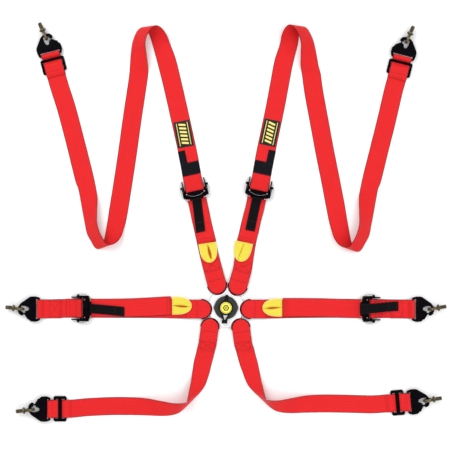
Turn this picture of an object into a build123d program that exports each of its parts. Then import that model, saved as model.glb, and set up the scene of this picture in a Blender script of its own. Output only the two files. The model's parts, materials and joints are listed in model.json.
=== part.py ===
"""Six-point racing harness, laid out flat on its back.

Millimetres, +Z up. The origin is on the floor under the buckle's axis; +Y points up the shoulder
straps. Every webbing route is a short list of hand-set stations, and every fitting is drawn once
in its own frame: u runs outward along its strap, v across it to the left of travel, z is height.
"""

import math
import os

from build123d import *

# ---- driving dimensions -------------------------------------------------------------------
WEB_WIDTH = 50.8  # two-inch webbing of the shoulder and lap straps
CROTCH_WIDTH = 48.5
WEB_THICKNESS = 1.4
GAP = 0.3  # running clearance between neighbouring curved parts
FLOOR_LAYER = 0.7  # middle of a single webbing layer lying on the floor
SEWN_LAYER = 2.3  # middle of the layer sewn on top of it
TAIL_LAYER = 2.6  # middle of the loose tail on top of a single layer
OVER_LAYER = 4.2  # middle of the loose tail on top of a sewn, doubled stretch

# Buckle
BACK_TOP = 2.4
BODY_TOP = 16.0
BODY_RADIUS = 47.0
BACK_RADIUS = 33.0
SLOT_LOW = 4.9
SLOT_HIGH = 8.1
CAVITY_LOW = 8.3
CAVITY_TOP = 14.6
CAVITY_RADIUS = 31.0
DIAL_LOW = 16.4
DIAL_TOP = 23.4
DIAL_RADIUS = 31.5
HUB_TOP = 26.6
HUB_RADIUS = 19.0
FORK_OUTLINE = [(-15, -11), (-9.3, -31.6), (-9.3, -36), (3.6, -36), (3.8, -31.6), (11, -14)]
FORK_WINDOW = [(-7.9, -19.5), (-4.6, -31.5), (-2.4, -31.5), (5.3, -19.5)]
BADGE_RADIUS = 15.5
BADGE_TOP = 27.6
POST_RADIUS = 4.0
SPIGOT_RADIUS = 8.7
SPIGOT_LOW = 12.6
LOCK_LOW = 8.6
LOCK_TOP = 10.2
PIN_RADIUS = 2.4
PIN_ORBIT = 26.0
PIN_LOW = 5.5

# Tongues and the webbing sleeves around them
TONGUE_LOW = 5.2
TONGUE_TOP = 7.8
TONGUE_RIM = 2.0  # how far the steel head shows past the sleeve
BLADE_WIDTH = 15.0
BLADE_REACH = 21.5  # blade tip's distance from the buckle axis
PLATE_REACH = 30.0  # how far the head runs up the strap

# Snap hooks, gates and eye bolts
HOOK_LOW = 8.6
HOOK_THICK = 3.0
BAR_U = -2.5
BAR_HALF = 2.75
BAR_LENGTH = 56.0
LOOP_RADIUS = 4.2  # middle of the webbing around the hook's bar
WINDOW_HALF = 26.7
PLATE_START = {"shoulder": 5.0, "lap": 5.0, "crotch": 3.2}
SEAT_V = -1.0
NOSE_U = 49.8
NOSE_V = -1.5
RIVET_U = 26.0
RIVET_V = 24.0
RIVET_RADIUS = 2.4
GATE_SHEET = 1.0
GATE_GAP = 0.2
# Outlines of the hook plate, its seat, its mouth and the gate: (u, v), the mouth toward +v.
HOOK_OUTLINE = [
    (-6.5, -28.0),
    (-3.0, -31.5),
    (6.0, -34.0),
    (15.5, -34.0),
    (21.5, -33.0),
    (46.0, -16.0),
    (54.0, -5.0),
    (54.0, 5.0),
    (51.0, 13.0),
    (45.0, 17.5),
    (39.5, 16.4),
    (38.0, 13.0),
    (35.0, 14.0),
    (30.5, 23.0),
    (19.0, 33.3),
    (6.0, 34.4),
    (-3.0, 31.5),
    (-6.5, 28.0),
]
HOOK_SEAT = [(24.0, 2.6), (28.5, 5.2), (34.0, 7.0), (36.0, 7.6), (45.0, 7.2)]  # and its mirror
HOOK_MOUTH = [(34.0, 3.0), (42.0, 3.0), (38.6, 17.5), (34.2, 16.5)]
GATE_LEAF = [
    (21.5, 27.5),
    (21.5, 20.0),
    (33.5, 10.0),
    (47.0, 10.0),
    (47.0, 13.5),
    (36.5, 13.5),
    (30.5, 23.0),
    (28.0, 27.5),
]
EYE_OUTER = 14.5
EYE_INNER = 9.0
EYE_THICK = 7.0
NECK_U = 13.0  # where the collar starts from the ring's centre
COLLAR_RADIUS = 9.0
COLLAR_LENGTH = 4.5
THREAD_RADIUS = 5.55  # 7/16-20 UNF
THREAD_LENGTH = 19.0

# Sliders: length, width, outer bars and half the middle bar
SLIDER_SIZES = {"shoulder": (40.0, 65.0, 7.0, 3.5), "crotch": (35.0, 68.5, 5.0, 5.0)}
SLIDER_CORNER = 5.0
SLIDER_LOW = 3.4
SLIDER_THICK = 2.2
SLIDER_OVER = 6.7  # webbing over a bar
SLIDER_UNDER = 2.3  # webbing under a bar, on top of another layer
FLAP_OVER = 8.7  # second layer over the middle bar

# Lever adjusters
CHEEK_IN = 28.5
CHEEK_THICK = 3.0
CHEEK_TOP = 13.0
CHEEK_OUTLINE = [(-23.0, 1.0), (10.0, 0.4), (26.0, 3.0), (26.0, 7.0), (14.0, 13.0), (-19.0, 13.0)]
ROLLER_U = {"shoulder": -3.0, "lap": -13.0}
ANCHOR_U = {"shoulder": -17.0, "lap": 1.0}
PIVOT_U = 7.0
PIVOT_Z = 9.0
PIVOT_RADIUS = 2.5
PIVOT_LENGTH = 8.0
ROLLER_RADIUS = 3.5
ROLLER_Z = 6.5
ROLLER_WRAP = ROLLER_RADIUS + GAP + 0.05 + WEB_THICKNESS / 2
ANCHOR_RADIUS = 2.8
ANCHOR_Z = 4.6
ANCHOR_WRAP = ANCHOR_RADIUS + GAP + 0.05 + WEB_THICKNESS / 2
ARM_OUTLINE = [(11.0, 5.0), (11.0, 13.0), (-8.0, 16.8), (-22.0, 16.8), (-22.0, 11.8), (4.0, 5.0)]
ARM_THICK = 2.5
ARM_GAP = 0.5
PLATE_LOW = 13.6  # the lever's cross plate
PLATE_THICK = 3.2
LIP_OUTLINE = [(-20.0, 13.7), (-22.0, 15.0), (-24.2, 11.3), (-23.6, 10.9)]  # turned-down edge
LIP_HALF = 30.0
TAB_ROD_U = -27.0
TAB_ROD_Z = 15.1
TAB_ROD_RADIUS = 2.5
TAB_ROD_HALF = 18.0
TAB_WIDTH = 25.6
TAB_THICKNESS = 1.2
TAB_WRAP = TAB_ROD_RADIUS + GAP + TAB_THICKNESS / 2

os.makedirs("parts", exist_ok=True)


# ---- frames, stations and strips ----------------------------------------------------------
def fitting_frame(x, y, heading):
    """A frame on the floor whose x axis points heading degrees to the left of +Y."""
    turn = math.radians(heading)
    return Plane(origin=(x, y, 0), x_dir=(-math.sin(turn), math.cos(turn), 0), z_dir=(0, 0, 1))


def crosswise(frame, u, z):
    """A plane standing across a frame, its normal along v."""
    return Plane(
        origin=frame.from_local_coords((u, 0, z)), x_dir=frame.x_dir, z_dir=frame.y_dir
    )


def flat_stations(points, width):
    """Level stations along (x, y, z) points: edge points to the left and right of travel."""
    spots = [Vector(*point) for point in points]
    stations = []
    for index, spot in enumerate(spots):
        before = spots[max(index - 1, 0)]
        after = spots[min(index + 1, len(spots) - 1)]
        run = Vector(after.X - before.X, after.Y - before.Y, 0).normalized()
        left = Vector(-run.Y, run.X, 0) * (width / 2)
        stations.append((spot + left, spot - left))
    return stations


def frame_stations(frame, points, width, across=0.0):
    """Stations at (u, z) points of a fitting's frame, square to it."""
    half = width / 2
    return [
        (
            frame.from_local_coords((u, across + half, z)),
            frame.from_local_coords((u, across - half, z)),
        )
        for u, z in points
    ]


def arc_points(u, z, radius, start, end, steps):
    """(u, z) points round a crosswise bar, from one angle to another in degrees."""
    points = []
    for step in range(steps + 1):
        angle = math.radians(start + (end - start) * step / steps)
        points.append((u + radius * math.cos(angle), z + radius * math.sin(angle)))
    return points


def strip(stations, thickness=WEB_THICKNESS):
    """A thin strip lofted through its stations."""
    middles = [(left + right) / 2 for left, right in stations]
    with BuildPart() as webbing:
        for index, (left, right) in enumerate(stations):
            across = left - right
            arrive = middles[index] - middles[max(index - 1, 0)]
            leave = middles[min(index + 1, len(middles) - 1)] - middles[index]
            run = Vector(0, 0, 0)
            for piece in (arrive, leave):
                if piece.length > 0:
                    run = run + piece.normalized()
            run = run - across * (run.dot(across) / across.dot(across))
            with BuildSketch(Plane(origin=middles[index], x_dir=across, z_dir=run)):
                Rectangle(across.length, thickness)
        loft(ruled=True)
    return webbing.part


def swap(stations):
    """The same stations after the strip has turned over: its edges change sides."""
    return [(Vector(*right), Vector(*left)) for left, right in stations]


def bent(stations, side, start, lean, end):
    """The left strap's fold carried to the right one.

    It is mirrored with side -1, then moved by start at its first station and end at its last,
    and by lean as well half way along.
    """
    moved = []
    last = len(stations) - 1
    for index, pair in enumerate(stations):
        share = index / last
        bump = math.sin(math.pi * share)
        dx = start[0] + (end[0] - start[0]) * share + lean[0] * bump
        dy = start[1] + (end[1] - start[1]) * share + lean[1] * bump
        moved.append(tuple(Vector(side * x + dx, y + dy, z) for x, y, z in pair))
    return moved


def save(part, name):
    """Label a finished piece and write it."""
    part.label = name
    export_step(part, f"parts/{name}.step")


# ---- where everything lies ----------------------------------------------------------------
# Sleeve ends: centre of the rounded end, and the strap's heading there.
SLEEVES = {
    "left_shoulder": (-24.6, 62.4, 15.0),
    "right_shoulder": (32.5, 59.6, -15.5),
    "left_lap": (-66.3, -4.6, 90.0),
    "right_lap": (66.3, -4.6, -90.0),
    "left_crotch": (-43.7, -55.0, 172.0),
    "right_crotch": (40.3, -56.0, -172.0),
}
ADJUSTERS = {
    "left_shoulder": fitting_frame(-84.5, 319.4, 12.5),
    "right_shoulder": fitting_frame(89.1, 321.3, -12.0),
    "left_lap": fitting_frame(-391.0, -2.4, 90.0),
    "right_lap": fitting_frame(390.5, -3.6, -90.0),
}
# Snap hooks: their bar's place and heading, the side of the mouth, and the eye bolt's swing.
HOOKS = {
    "left_shoulder": (-473.0, 684.0, 14.6, -1, 9.0),
    "right_shoulder": (475.5, 675.0, -14.0, 1, -10.0),
    "left_lap": (-506.3, -4.2, 90.0, 1, -6.0),
    "right_lap": (506.3, -4.6, -90.0, -1, 10.0),
    "left_crotch": (-478.4, -273.4, 90.0, -1, 7.0),
    "right_crotch": (494.4, -254.8, -85.0, -1, 4.0),
}
HOOK_FRAMES = {name: fitting_frame(*place[:3]) for name, place in HOOKS.items()}
SLIDERS = {
    "left_shoulder": fitting_frame(-464.9, 652.3, 14.6),
    "right_shoulder": fitting_frame(467.8, 644.5, -14.0),
    "left_crotch": fitting_frame(-447.5, -273.4, 90.0),
    "right_crotch": fitting_frame(463.0, -257.0, -85.0),
}

# Shoulder routes: centre lines of the three arms.
SHOULDER_CHEST = {
    "left": [(-44.5, 138.0, 3.2), (-54.0, 180.4, 1.0), (-64.8, 229.0, FLOOR_LAYER)],
    "right": [(49.5, 138.0, 3.2), (56.7, 180.4, 1.0), (67.5, 229.0, FLOOR_LAYER)],
}
SHOULDER_TAIL = {
    "left": [(-66.6, 237.0, 3.0), (-59.5, 206.0, 2.8), (-51.3, 173.6, 3.4)],
    "right": [(69.6, 237.0, 3.0), (63.0, 206.0, 2.8), (54.5, 175.0, 3.4)],
}
SHOULDER_ARM_1 = {
    "left": [(-101.3, 407.2), (-129.6, 536.8), (-144.5, 601.6), (-160.7, 666.4)],
    "right": [(105.3, 407.2), (132.3, 536.8), (144.5, 601.6), (156.0, 662.0)],
}
SHOULDER_ARM_2 = {
    "left": [(-241.7, 585.4), (-253.8, 504.4), (-267.3, 407.2), (-282.2, 310.0), (-291.0, 255.0)],
    "right": [(236.3, 585.4), (251.1, 504.4), (266.0, 423.4), (282.2, 342.4), (297.5, 262.0)],
}
SHOULDER_ARM_3 = {
    "left": [(-380.7, 342.4), (-405.0, 439.6), (-430.7, 536.8), (-449.5, 596.0)],
    "right": [(392.9, 342.4), (413.1, 423.4), (433.4, 504.4), (452.3, 585.4)],
}
# Fold-overs of the left shoulder strap: the edge that arches up, then the edge near the floor.
TOP_FOLD = [
    ((-151.2, 712.0, 5.0), (-200.0, 714.0, 0.7)),
    ((-159.3, 732.5, 20.0), (-206.5, 734.5, 0.7)),
    ((-171.8, 748.7, 31.0), (-214.6, 748.0, 2.0)),
    ((-185.3, 755.2, 37.0), (-225.0, 754.8, 4.0)),
    ((-199.8, 746.0, 41.0), (-236.4, 748.7, 5.0)),
    ((-211.0, 727.1, 39.0), (-246.0, 732.5, 4.0)),
    ((-215.5, 708.2, 34.0), (-252.4, 714.0, 3.0)),
    ((-213.3, 683.9, 25.0), (-256.8, 683.9, 2.0)),
    ((-210.0, 651.5, 12.0), (-259.4, 651.5, 1.0)),
    ((-210.0, 630.0, 0.9), (-260.8, 632.0, 0.7)),
]
BOTTOM_FOLD = [
    ((-270.0, 230.3, 0.9), (-320.4, 229.3, 0.7)),
    ((-275.4, 211.0, 8.0), (-324.4, 207.0, 0.7)),
    ((-280.8, 192.0, 16.0), (-328.0, 187.0, 0.7)),
    ((-291.6, 177.0, 25.0), (-333.5, 169.5, 1.5)),
    ((-305.1, 170.1, 32.0), (-342.0, 157.5, 3.0)),
    ((-318.6, 172.5, 37.0), (-353.0, 160.5, 4.0)),
    ((-328.0, 185.0, 39.0), (-364.5, 179.0, 4.0)),
    ((-338.5, 206.0, 38.0), (-375.5, 200.0, 3.0)),
    ((-344.8, 230.0, 35.0), (-381.5, 229.0, 2.0)),
    ((-345.2, 262.0, 27.0), (-387.8, 261.0, 1.0)),
    ((-345.4, 290.0, 15.0), (-393.6, 293.0, 0.7)),
    ((-349.0, 313.0, 0.9), (-399.0, 320.0, 0.7)),
]
CROTCH_ARM_1 = {
    "left": [(-54.2, -116.0, 3.2), (-58.0, -132.0, 1.3), (-63.2, -152.0, FLOOR_LAYER)],
    "right": [(51.8, -116.0, 3.2), (55.8, -132.0, 1.3), (61.5, -152.0, FLOOR_LAYER)],
}
# Banked bend of the left crotch strap: the edge on the floor, then the edge that stands up.
CROTCH_BEND = [
    ((-42.3, -169.3, 0.7), (-90.7, -172.3, 0.7)),
    ((-48.0, -189.0, 0.7), (-93.7, -196.0, 12.0)),
    ((-56.0, -210.6, 0.7), (-98.0, -216.5, 24.0)),
    ((-68.0, -228.0, 0.7), (-101.3, -235.0, 35.0)),
    ((-84.0, -244.5, 0.7), (-103.5, -247.0, 44.0)),
    ((-95.0, -255.5, 0.7), (-104.7, -251.1, 47.0)),
    ((-108.0, -269.0, 0.7), (-108.5, -252.0, 45.5)),
    ((-126.6, -284.6, 0.7), (-121.4, -254.6, 38.0)),
    ((-145.0, -291.0, 0.7), (-141.0, -254.8, 32.5)),
    ((-172.0, -293.5, 0.7), (-171.0, -250.7, 23.0)),
    ((-215.0, -292.0, 0.7), (-214.5, -244.6, 10.0)),
    ((-268.8, -291.0, 0.7), (-268.6, -242.5, 0.7)),
]
CROTCH_ARM_2 = {
    "left": [(-311.9, -266.9, 0.7), (-376.7, -270.0, 0.7), (-412.0, -273.4, 0.9)],
    "right": [(330.0, -260.6, 0.7), (395.0, -262.2, 0.7), (428.0, -260.0, 0.9)],
}
LAP_TAIL_END = {"left": (-147.2, 4.7), "right": (153.1, -0.4)}
FINGER_LOOPS = {
    "left_shoulder": fitting_frame(-50.4, 174.4, 8.3),
    "right_shoulder": fitting_frame(49.2, 176.6, -11.7),
    "left_lap": fitting_frame(-146.2, 4.7, 90.0),
    "right_lap": fitting_frame(152.1, -0.4, -90.0),
}
LOOP_LIES = {"shoulder": (4.3, 2.4), "lap": (5.1, 6.0)}  # lowest point and slope of a loop
LOOP_SLIT = 7.0


# ---- buckle -------------------------------------------------------------------------------
def toward_buckle(name):
    """Direction in the floor plane from a sleeve end to the buckle axis."""
    x, y, _ = SLEEVES[name]
    return Vector(-x, -y, 0).normalized()


def sleeve_width(name):
    """Webbing width of the strap that a sleeve belongs to."""
    return CROTCH_WIDTH if "crotch" in name else WEB_WIDTH


def blade_plane(name, height):
    """A level plane on the buckle axis whose x axis points out along a tongue's blade."""
    return Plane(origin=(0, 0, height), x_dir=toward_buckle(name) * -1, z_dir=(0, 0, 1))


def buckle_outline():
    """The cast star: a disc with a foot and a crest, scalloped around each sleeve end."""
    with BuildSketch() as star:
        Circle(BODY_RADIUS)
        with BuildLine():
            Polyline((-17, -20), (-15, -51.5), (15, -51.5), (17, -20), close=True)
        make_face()
        with BuildLine():
            Polyline((-14, 30), (3, 58), (20, 30), close=True)
        make_face()
        for name, (x, y, _) in SLEEVES.items():
            with Locations((x, y)):
                Circle(sleeve_width(name) / 2 + TONGUE_RIM + 2.0, mode=Mode.SUBTRACT)
    return star.sketch


def build_buckle():
    """Back plate, cast body, lock ring, return spring, dial, hub and badge."""
    outline = buckle_outline()

    with BuildPart() as back:
        with BuildSketch():
            Circle(BACK_RADIUS)
        extrude(amount=BACK_TOP)
        with BuildSketch(Plane.XY.offset(BACK_TOP)):
            Circle(POST_RADIUS)
        extrude(amount=HUB_TOP - 2.0 - BACK_TOP)
    save(back.part, "buckle_back_plate")

    with BuildPart() as body:
        with BuildSketch(Plane.XY.offset(BACK_TOP)):
            add(outline)
        extrude(amount=BODY_TOP - BACK_TOP)
        fillet(body.faces().sort_by(Axis.Z)[-1].edges(), radius=1.2)
        for name in SLEEVES:
            with BuildSketch(blade_plane(name, SLOT_LOW)):
                with Locations((BLADE_REACH - 1.0, 0)):
                    Rectangle(
                        BODY_RADIUS + 20,
                        BLADE_WIDTH + 1.2,
                        align=(Align.MIN, Align.CENTER),
                    )
            extrude(amount=SLOT_HIGH - SLOT_LOW, mode=Mode.SUBTRACT)
        with BuildSketch(Plane.XY.offset(CAVITY_LOW)):
            Circle(CAVITY_RADIUS)
        extrude(amount=CAVITY_TOP - CAVITY_LOW, mode=Mode.SUBTRACT)
        with BuildSketch(Plane.XY.offset(CAVITY_TOP)):
            Circle(SPIGOT_RADIUS + GAP)
        extrude(amount=BODY_TOP - CAVITY_TOP, mode=Mode.SUBTRACT)
        with BuildSketch(Plane.XY.offset(BACK_TOP)):
            Circle(POST_RADIUS)
        extrude(amount=CAVITY_LOW - BACK_TOP, mode=Mode.SUBTRACT)
        for name in SLEEVES:
            with BuildSketch(blade_plane(name, SLOT_HIGH)):
                with Locations((PIN_ORBIT, 0)):
                    Circle(PIN_RADIUS + GAP)
            extrude(amount=CAVITY_LOW - SLOT_HIGH, mode=Mode.SUBTRACT)
    save(body.part, "buckle_body")

    with BuildPart() as lock:
        with BuildSketch(Plane.XY.offset(LOCK_LOW)):
            Circle(PIN_ORBIT + PIN_RADIUS + 1.0)
            Circle(SPIGOT_RADIUS + 2.0, mode=Mode.SUBTRACT)
        extrude(amount=LOCK_TOP - LOCK_LOW)
        for name in SLEEVES:
            with BuildSketch(blade_plane(name, PIN_LOW)):
                with Locations((PIN_ORBIT, 0)):
                    Circle(PIN_RADIUS)
            extrude(amount=LOCK_TOP - PIN_LOW)
    save(lock.part, "lock_ring")

    with BuildPart() as spring:
        with BuildSketch(Plane.XY.offset(CAVITY_LOW + 0.2)):
            Circle(POST_RADIUS + 2.6)
            Circle(POST_RADIUS + 0.6, mode=Mode.SUBTRACT)
        extrude(amount=SPIGOT_LOW - CAVITY_LOW - 0.6)
    save(spring.part, "return_spring")

    with BuildPart() as dial:
        with BuildSketch(Plane.XY.offset(DIAL_LOW)):
            Circle(DIAL_RADIUS)
        extrude(amount=DIAL_TOP - DIAL_LOW)
        chamfer(dial.faces().sort_by(Axis.Z)[-1].edges(), length=2.4)
        with BuildSketch(Plane.XY.offset(SPIGOT_LOW)):
            Circle(SPIGOT_RADIUS)
        extrude(amount=DIAL_LOW - SPIGOT_LOW)
        with BuildSketch(Plane.XY.offset(SPIGOT_LOW)):
            Circle(POST_RADIUS + 0.05)
        extrude(amount=DIAL_TOP - SPIGOT_LOW, mode=Mode.SUBTRACT)
    save(dial.part, "dial")

    with BuildPart() as hub:
        with BuildSketch(Plane.XY.offset(DIAL_TOP)):
            Circle(HUB_RADIUS)
            with Locations((1.0, 24.0)):
                Rectangle(9.0, 14.0)
            with Locations((2.0, 30.0)):
                Circle(5.2)
            with BuildLine():
                Polyline(*FORK_OUTLINE, close=True)
            make_face()
            with Locations((-4.2, -37.5)):
                Rectangle(14.6, 9.0)
            with BuildLine():
                Polyline(*FORK_WINDOW, close=True)
            make_face(mode=Mode.SUBTRACT)
        extrude(amount=HUB_TOP - DIAL_TOP)
        with BuildSketch(Plane.XY.offset(DIAL_TOP)):
            Circle(POST_RADIUS + 0.05)
        extrude(amount=HUB_TOP - DIAL_TOP - 1.0, mode=Mode.SUBTRACT)
    save(hub.part, "dial_hub")

    with BuildPart() as badge:
        with BuildSketch(Plane.XY.offset(HUB_TOP)):
            Circle(BADGE_RADIUS)
        extrude(amount=BADGE_TOP - HUB_TOP)
    save(badge.part, "dial_badge")


# ---- tongues and sleeves ------------------------------------------------------------------
def build_tongue(name):
    """A latch tongue: a rounded head inside the sleeve and a blade with its latch hole."""
    x, y, heading = SLEEVES[name]
    frame = fitting_frame(x, y, heading)
    radius = sleeve_width(name) / 2 + TONGUE_RIM
    reach = math.hypot(x, y)
    with BuildPart() as tongue:
        with BuildSketch(frame.offset(TONGUE_LOW)):
            Circle(radius)
            with Locations((PLATE_REACH / 2, 0)):
                Rectangle(PLATE_REACH, 2 * (radius - TONGUE_RIM - 1.5))
            Rectangle(2 * radius, 4 * radius, align=(Align.MIN, Align.CENTER), mode=Mode.SUBTRACT)
            with Locations((PLATE_REACH / 2, 0)):
                Rectangle(PLATE_REACH, 2 * (radius - TONGUE_RIM - 1.5))
        extrude(amount=TONGUE_TOP - TONGUE_LOW)
        with BuildSketch(blade_plane(name, TONGUE_LOW)):
            with Locations((BLADE_REACH, 0)):
                Rectangle(reach - BLADE_REACH, BLADE_WIDTH, align=(Align.MIN, Align.CENTER))
        extrude(amount=TONGUE_TOP - TONGUE_LOW)
        with BuildSketch(blade_plane(name, TONGUE_LOW)):
            with Locations((PIN_ORBIT, 0)):
                Circle(PIN_RADIUS + GAP)
        extrude(amount=TONGUE_TOP - TONGUE_LOW, mode=Mode.SUBTRACT)
    save(tongue.part, f"{name}_tongue")


def sleeve_part(name):
    """The webbing doubled over a tongue: two rounded layers joined past the tongue's head."""
    x, y, heading = SLEEVES[name]
    frame = fitting_frame(x, y, heading)
    width = sleeve_width(name)
    length = PLATE_REACH + 6.0
    with BuildPart() as sleeve:
        with BuildSketch(frame.offset(TONGUE_LOW - WEB_THICKNESS)):
            Circle(width / 2)
            Rectangle(length, width, align=(Align.MIN, Align.CENTER))
        extrude(amount=TONGUE_TOP - TONGUE_LOW + 2 * WEB_THICKNESS)
        with BuildSketch(frame.offset(TONGUE_LOW)):
            with Locations((PLATE_REACH, 0)):
                Rectangle(
                    PLATE_REACH + width, width + 4, align=(Align.MAX, Align.CENTER)
                )
        extrude(amount=TONGUE_TOP - TONGUE_LOW, mode=Mode.SUBTRACT)
    return sleeve.part


def sleeve_run(name, stations):
    """A sleeve and the strap that leaves it, tapering down to one webbing layer."""
    x, y, heading = SLEEVES[name]
    frame = fitting_frame(x, y, heading)
    width = sleeve_width(name)
    middle = (TONGUE_LOW + TONGUE_TOP) / 2
    thick = TONGUE_TOP - TONGUE_LOW + 2 * WEB_THICKNESS
    start = PLATE_REACH + 6.0
    with BuildPart() as taper:
        with BuildSketch(crosswise_square(frame, start, middle)):
            Rectangle(width, thick)
        with BuildSketch(crosswise_square(frame, start + 8.0, middle - 1.0)):
            Rectangle(width, WEB_THICKNESS)
        loft(ruled=True)
    lead = frame_stations(frame, [(start + 8.0, middle - 1.0)], width)
    run = strip(lead + stations)
    with BuildPart() as whole:
        add(sleeve_part(name))
        add(taper.part)
        add(run)
    return whole.part


def crosswise_square(frame, u, z):
    """A plane square to a frame's run, its x axis along v."""
    return Plane(
        origin=frame.from_local_coords((u, 0, z)), x_dir=frame.y_dir, z_dir=frame.x_dir
    )


# ---- hooks, gates, eye bolts --------------------------------------------------------------
def mouth_side(points, side):
    """Hook outline points with the mouth on the given side."""
    return [(u, side * v) for u, v in points]


def build_hook(name):
    """Snap hook plate, its spring gate and the eye bolt it holds."""
    side = HOOKS[name][3]
    frame = HOOK_FRAMES[name]
    seat = HOOK_SEAT + [(u, -v) for u, v in reversed(HOOK_SEAT)]
    with BuildPart() as hook:
        with BuildSketch(frame.offset(HOOK_LOW)):
            with BuildLine():
                Polyline(*mouth_side(HOOK_OUTLINE, side), close=True)
            make_face()
            with Locations((PLATE_START[name.split("_")[1]], 0)):
                Rectangle(
                    20.0, 2 * WINDOW_HALF, align=(Align.MAX, Align.CENTER), mode=Mode.SUBTRACT
                )
            with Locations((BAR_U, 0)):
                Rectangle(2 * BAR_HALF, BAR_LENGTH)
            for cut in ([(u, v + SEAT_V) for u, v in seat], HOOK_MOUTH):
                with BuildLine():
                    Polyline(*mouth_side(cut, side), close=True)
                make_face(mode=Mode.SUBTRACT)
        extrude(amount=HOOK_THICK)
        with BuildSketch(frame.offset(HOOK_LOW - GATE_SHEET - GAP)):
            with Locations((RIVET_U, side * RIVET_V)):
                Circle(RIVET_RADIUS)
        extrude(amount=HOOK_THICK + 2 * (GATE_SHEET + GAP))
    save(hook.part, f"{name}_hook")

    with BuildPart() as gate:
        for height in (HOOK_LOW - GATE_GAP - GATE_SHEET, HOOK_LOW + HOOK_THICK + GATE_GAP):
            with BuildSketch(frame.offset(height)):
                with BuildLine():
                    Polyline(*mouth_side(GATE_LEAF, side), close=True)
                make_face()
                with Locations((RIVET_U, side * RIVET_V)):
                    Circle(RIVET_RADIUS + 0.15, mode=Mode.SUBTRACT)
            extrude(amount=GATE_SHEET)
    save(gate.part, f"{name}_gate")


def build_eye_bolt(name):
    """The eye bolt in a hook's seat: its ring on edge, its collar and its shank."""
    _, _, heading, side, swing = HOOKS[name]
    pivot = HOOK_FRAMES[name].from_local_coords((NOSE_U, NOSE_V * side, 0))
    frame = fitting_frame(pivot.X, pivot.Y, heading + swing)
    neck = crosswise_square(frame, NECK_U, EYE_OUTER)
    with BuildPart() as bolt:
        with BuildSketch(crosswise(frame, 0, EYE_OUTER)):
            Circle(EYE_OUTER)
            Circle(EYE_INNER, mode=Mode.SUBTRACT)
        extrude(amount=EYE_THICK / 2, both=True)
        with BuildSketch(neck):
            Circle(COLLAR_RADIUS)
        extrude(amount=COLLAR_LENGTH)
        with BuildSketch(neck.offset(COLLAR_LENGTH)):
            Circle(THREAD_RADIUS)
        extrude(amount=THREAD_LENGTH)
    save(bolt.part, f"{name}_eye_bolt")


# ---- sliders ------------------------------------------------------------------------------
def slider_bars(name):
    """Outer edge, inner edge of the outer bars and edge of the middle bar, from the centre."""
    length, _, bar, middle = SLIDER_SIZES[name.split("_")[1]]
    return length / 2, length / 2 - bar, middle


def build_slider(name):
    """Three-bar slider: a stamped frame with two windows."""
    length, width, _, _ = SLIDER_SIZES[name.split("_")[1]]
    _, outer, middle = slider_bars(name)
    with BuildPart() as slider:
        with BuildSketch(SLIDERS[name].offset(SLIDER_LOW)):
            RectangleRounded(length, width, SLIDER_CORNER)
            centre = (outer + middle) / 2
            with Locations((centre, 0), (-centre, 0)):
                Rectangle(outer - middle, WEB_WIDTH + 2.0, mode=Mode.SUBTRACT)
        extrude(amount=SLIDER_THICK)
    save(slider.part, f"{name}_slider")


def crotch_hook_end(name):
    """Stations over the outer bars, under the middle one, and round the hook's bar."""
    edge, outer, middle = slider_bars(name)
    weave = [
        (-edge - 0.5, SLIDER_OVER),
        (-outer, SLIDER_OVER),
        (-middle, SLIDER_UNDER),
        (middle, SLIDER_UNDER),
        (outer, SLIDER_OVER),
        (edge - 2.5, SLIDER_OVER),
    ]
    loop = arc_points(BAR_U, HOOK_LOW + HOOK_THICK / 2, LOOP_RADIUS, 115.0, -90.0, 7)
    loop += [(-10.0, FLOOR_LAYER + 1.2), (-20.0, FLOOR_LAYER)]
    stations = frame_stations(SLIDERS[name], weave, CROTCH_WIDTH)
    return stations + frame_stations(HOOK_FRAMES[name], loop, CROTCH_WIDTH)


def shoulder_hook_end(name):
    """Stations over the slider's middle bar, round the hook's bar and back over the slider."""
    edge, outer, middle = slider_bars(name)
    out = [
        (-30.0, FLOOR_LAYER),
        (-outer, FLOOR_LAYER),
        (-middle, SLIDER_OVER),
        (middle, SLIDER_OVER),
        (outer - 1.0, FLOOR_LAYER),
    ]
    loop = [(-10.5, FLOOR_LAYER + 0.1)]
    loop += arc_points(BAR_U, HOOK_LOW + HOOK_THICK / 2, LOOP_RADIUS, -90.0, 90.0, 6)
    loop += [(-7.0, 13.0)]
    flap = [
        (edge + 1.0, SLIDER_UNDER + 0.2),
        (outer, SLIDER_UNDER + 0.1),
        (middle, FLAP_OVER),
        (-middle, FLAP_OVER),
        (-outer, SLIDER_OVER + 0.2),
        (-edge - 1.0, SLIDER_OVER),
        (-27.0, SEWN_LAYER + 0.2),
        (-31.0, SEWN_LAYER + 0.1),
    ]
    stations = frame_stations(SLIDERS[name], out, WEB_WIDTH)
    stations += frame_stations(HOOK_FRAMES[name], loop, WEB_WIDTH)
    return stations + frame_stations(SLIDERS[name], flap, WEB_WIDTH)


# ---- lever adjusters ----------------------------------------------------------------------
def plate_sketch(frame, across, outline, holes=()):
    """An upright outline of (u, z) points, with (u, z, radius) holes, at a distance across."""
    origin = frame.from_local_coords((0, across, 0))
    with BuildSketch(Plane(origin=origin, x_dir=frame.x_dir, z_dir=frame.y_dir)) as plate:
        with BuildLine():
            Polyline(*[(u, -z) for u, z in outline], close=True)
        make_face()
        for u, z, radius in holes:
            with Locations((u, -z)):
                Circle(radius, mode=Mode.SUBTRACT)
    return plate.sketch


def rod_sketch(frame, u, z, radius):
    """The section of a rod that lies across a frame."""
    with BuildSketch(crosswise(frame, u, z)) as rod:
        Circle(radius)
    return rod.sketch


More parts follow.
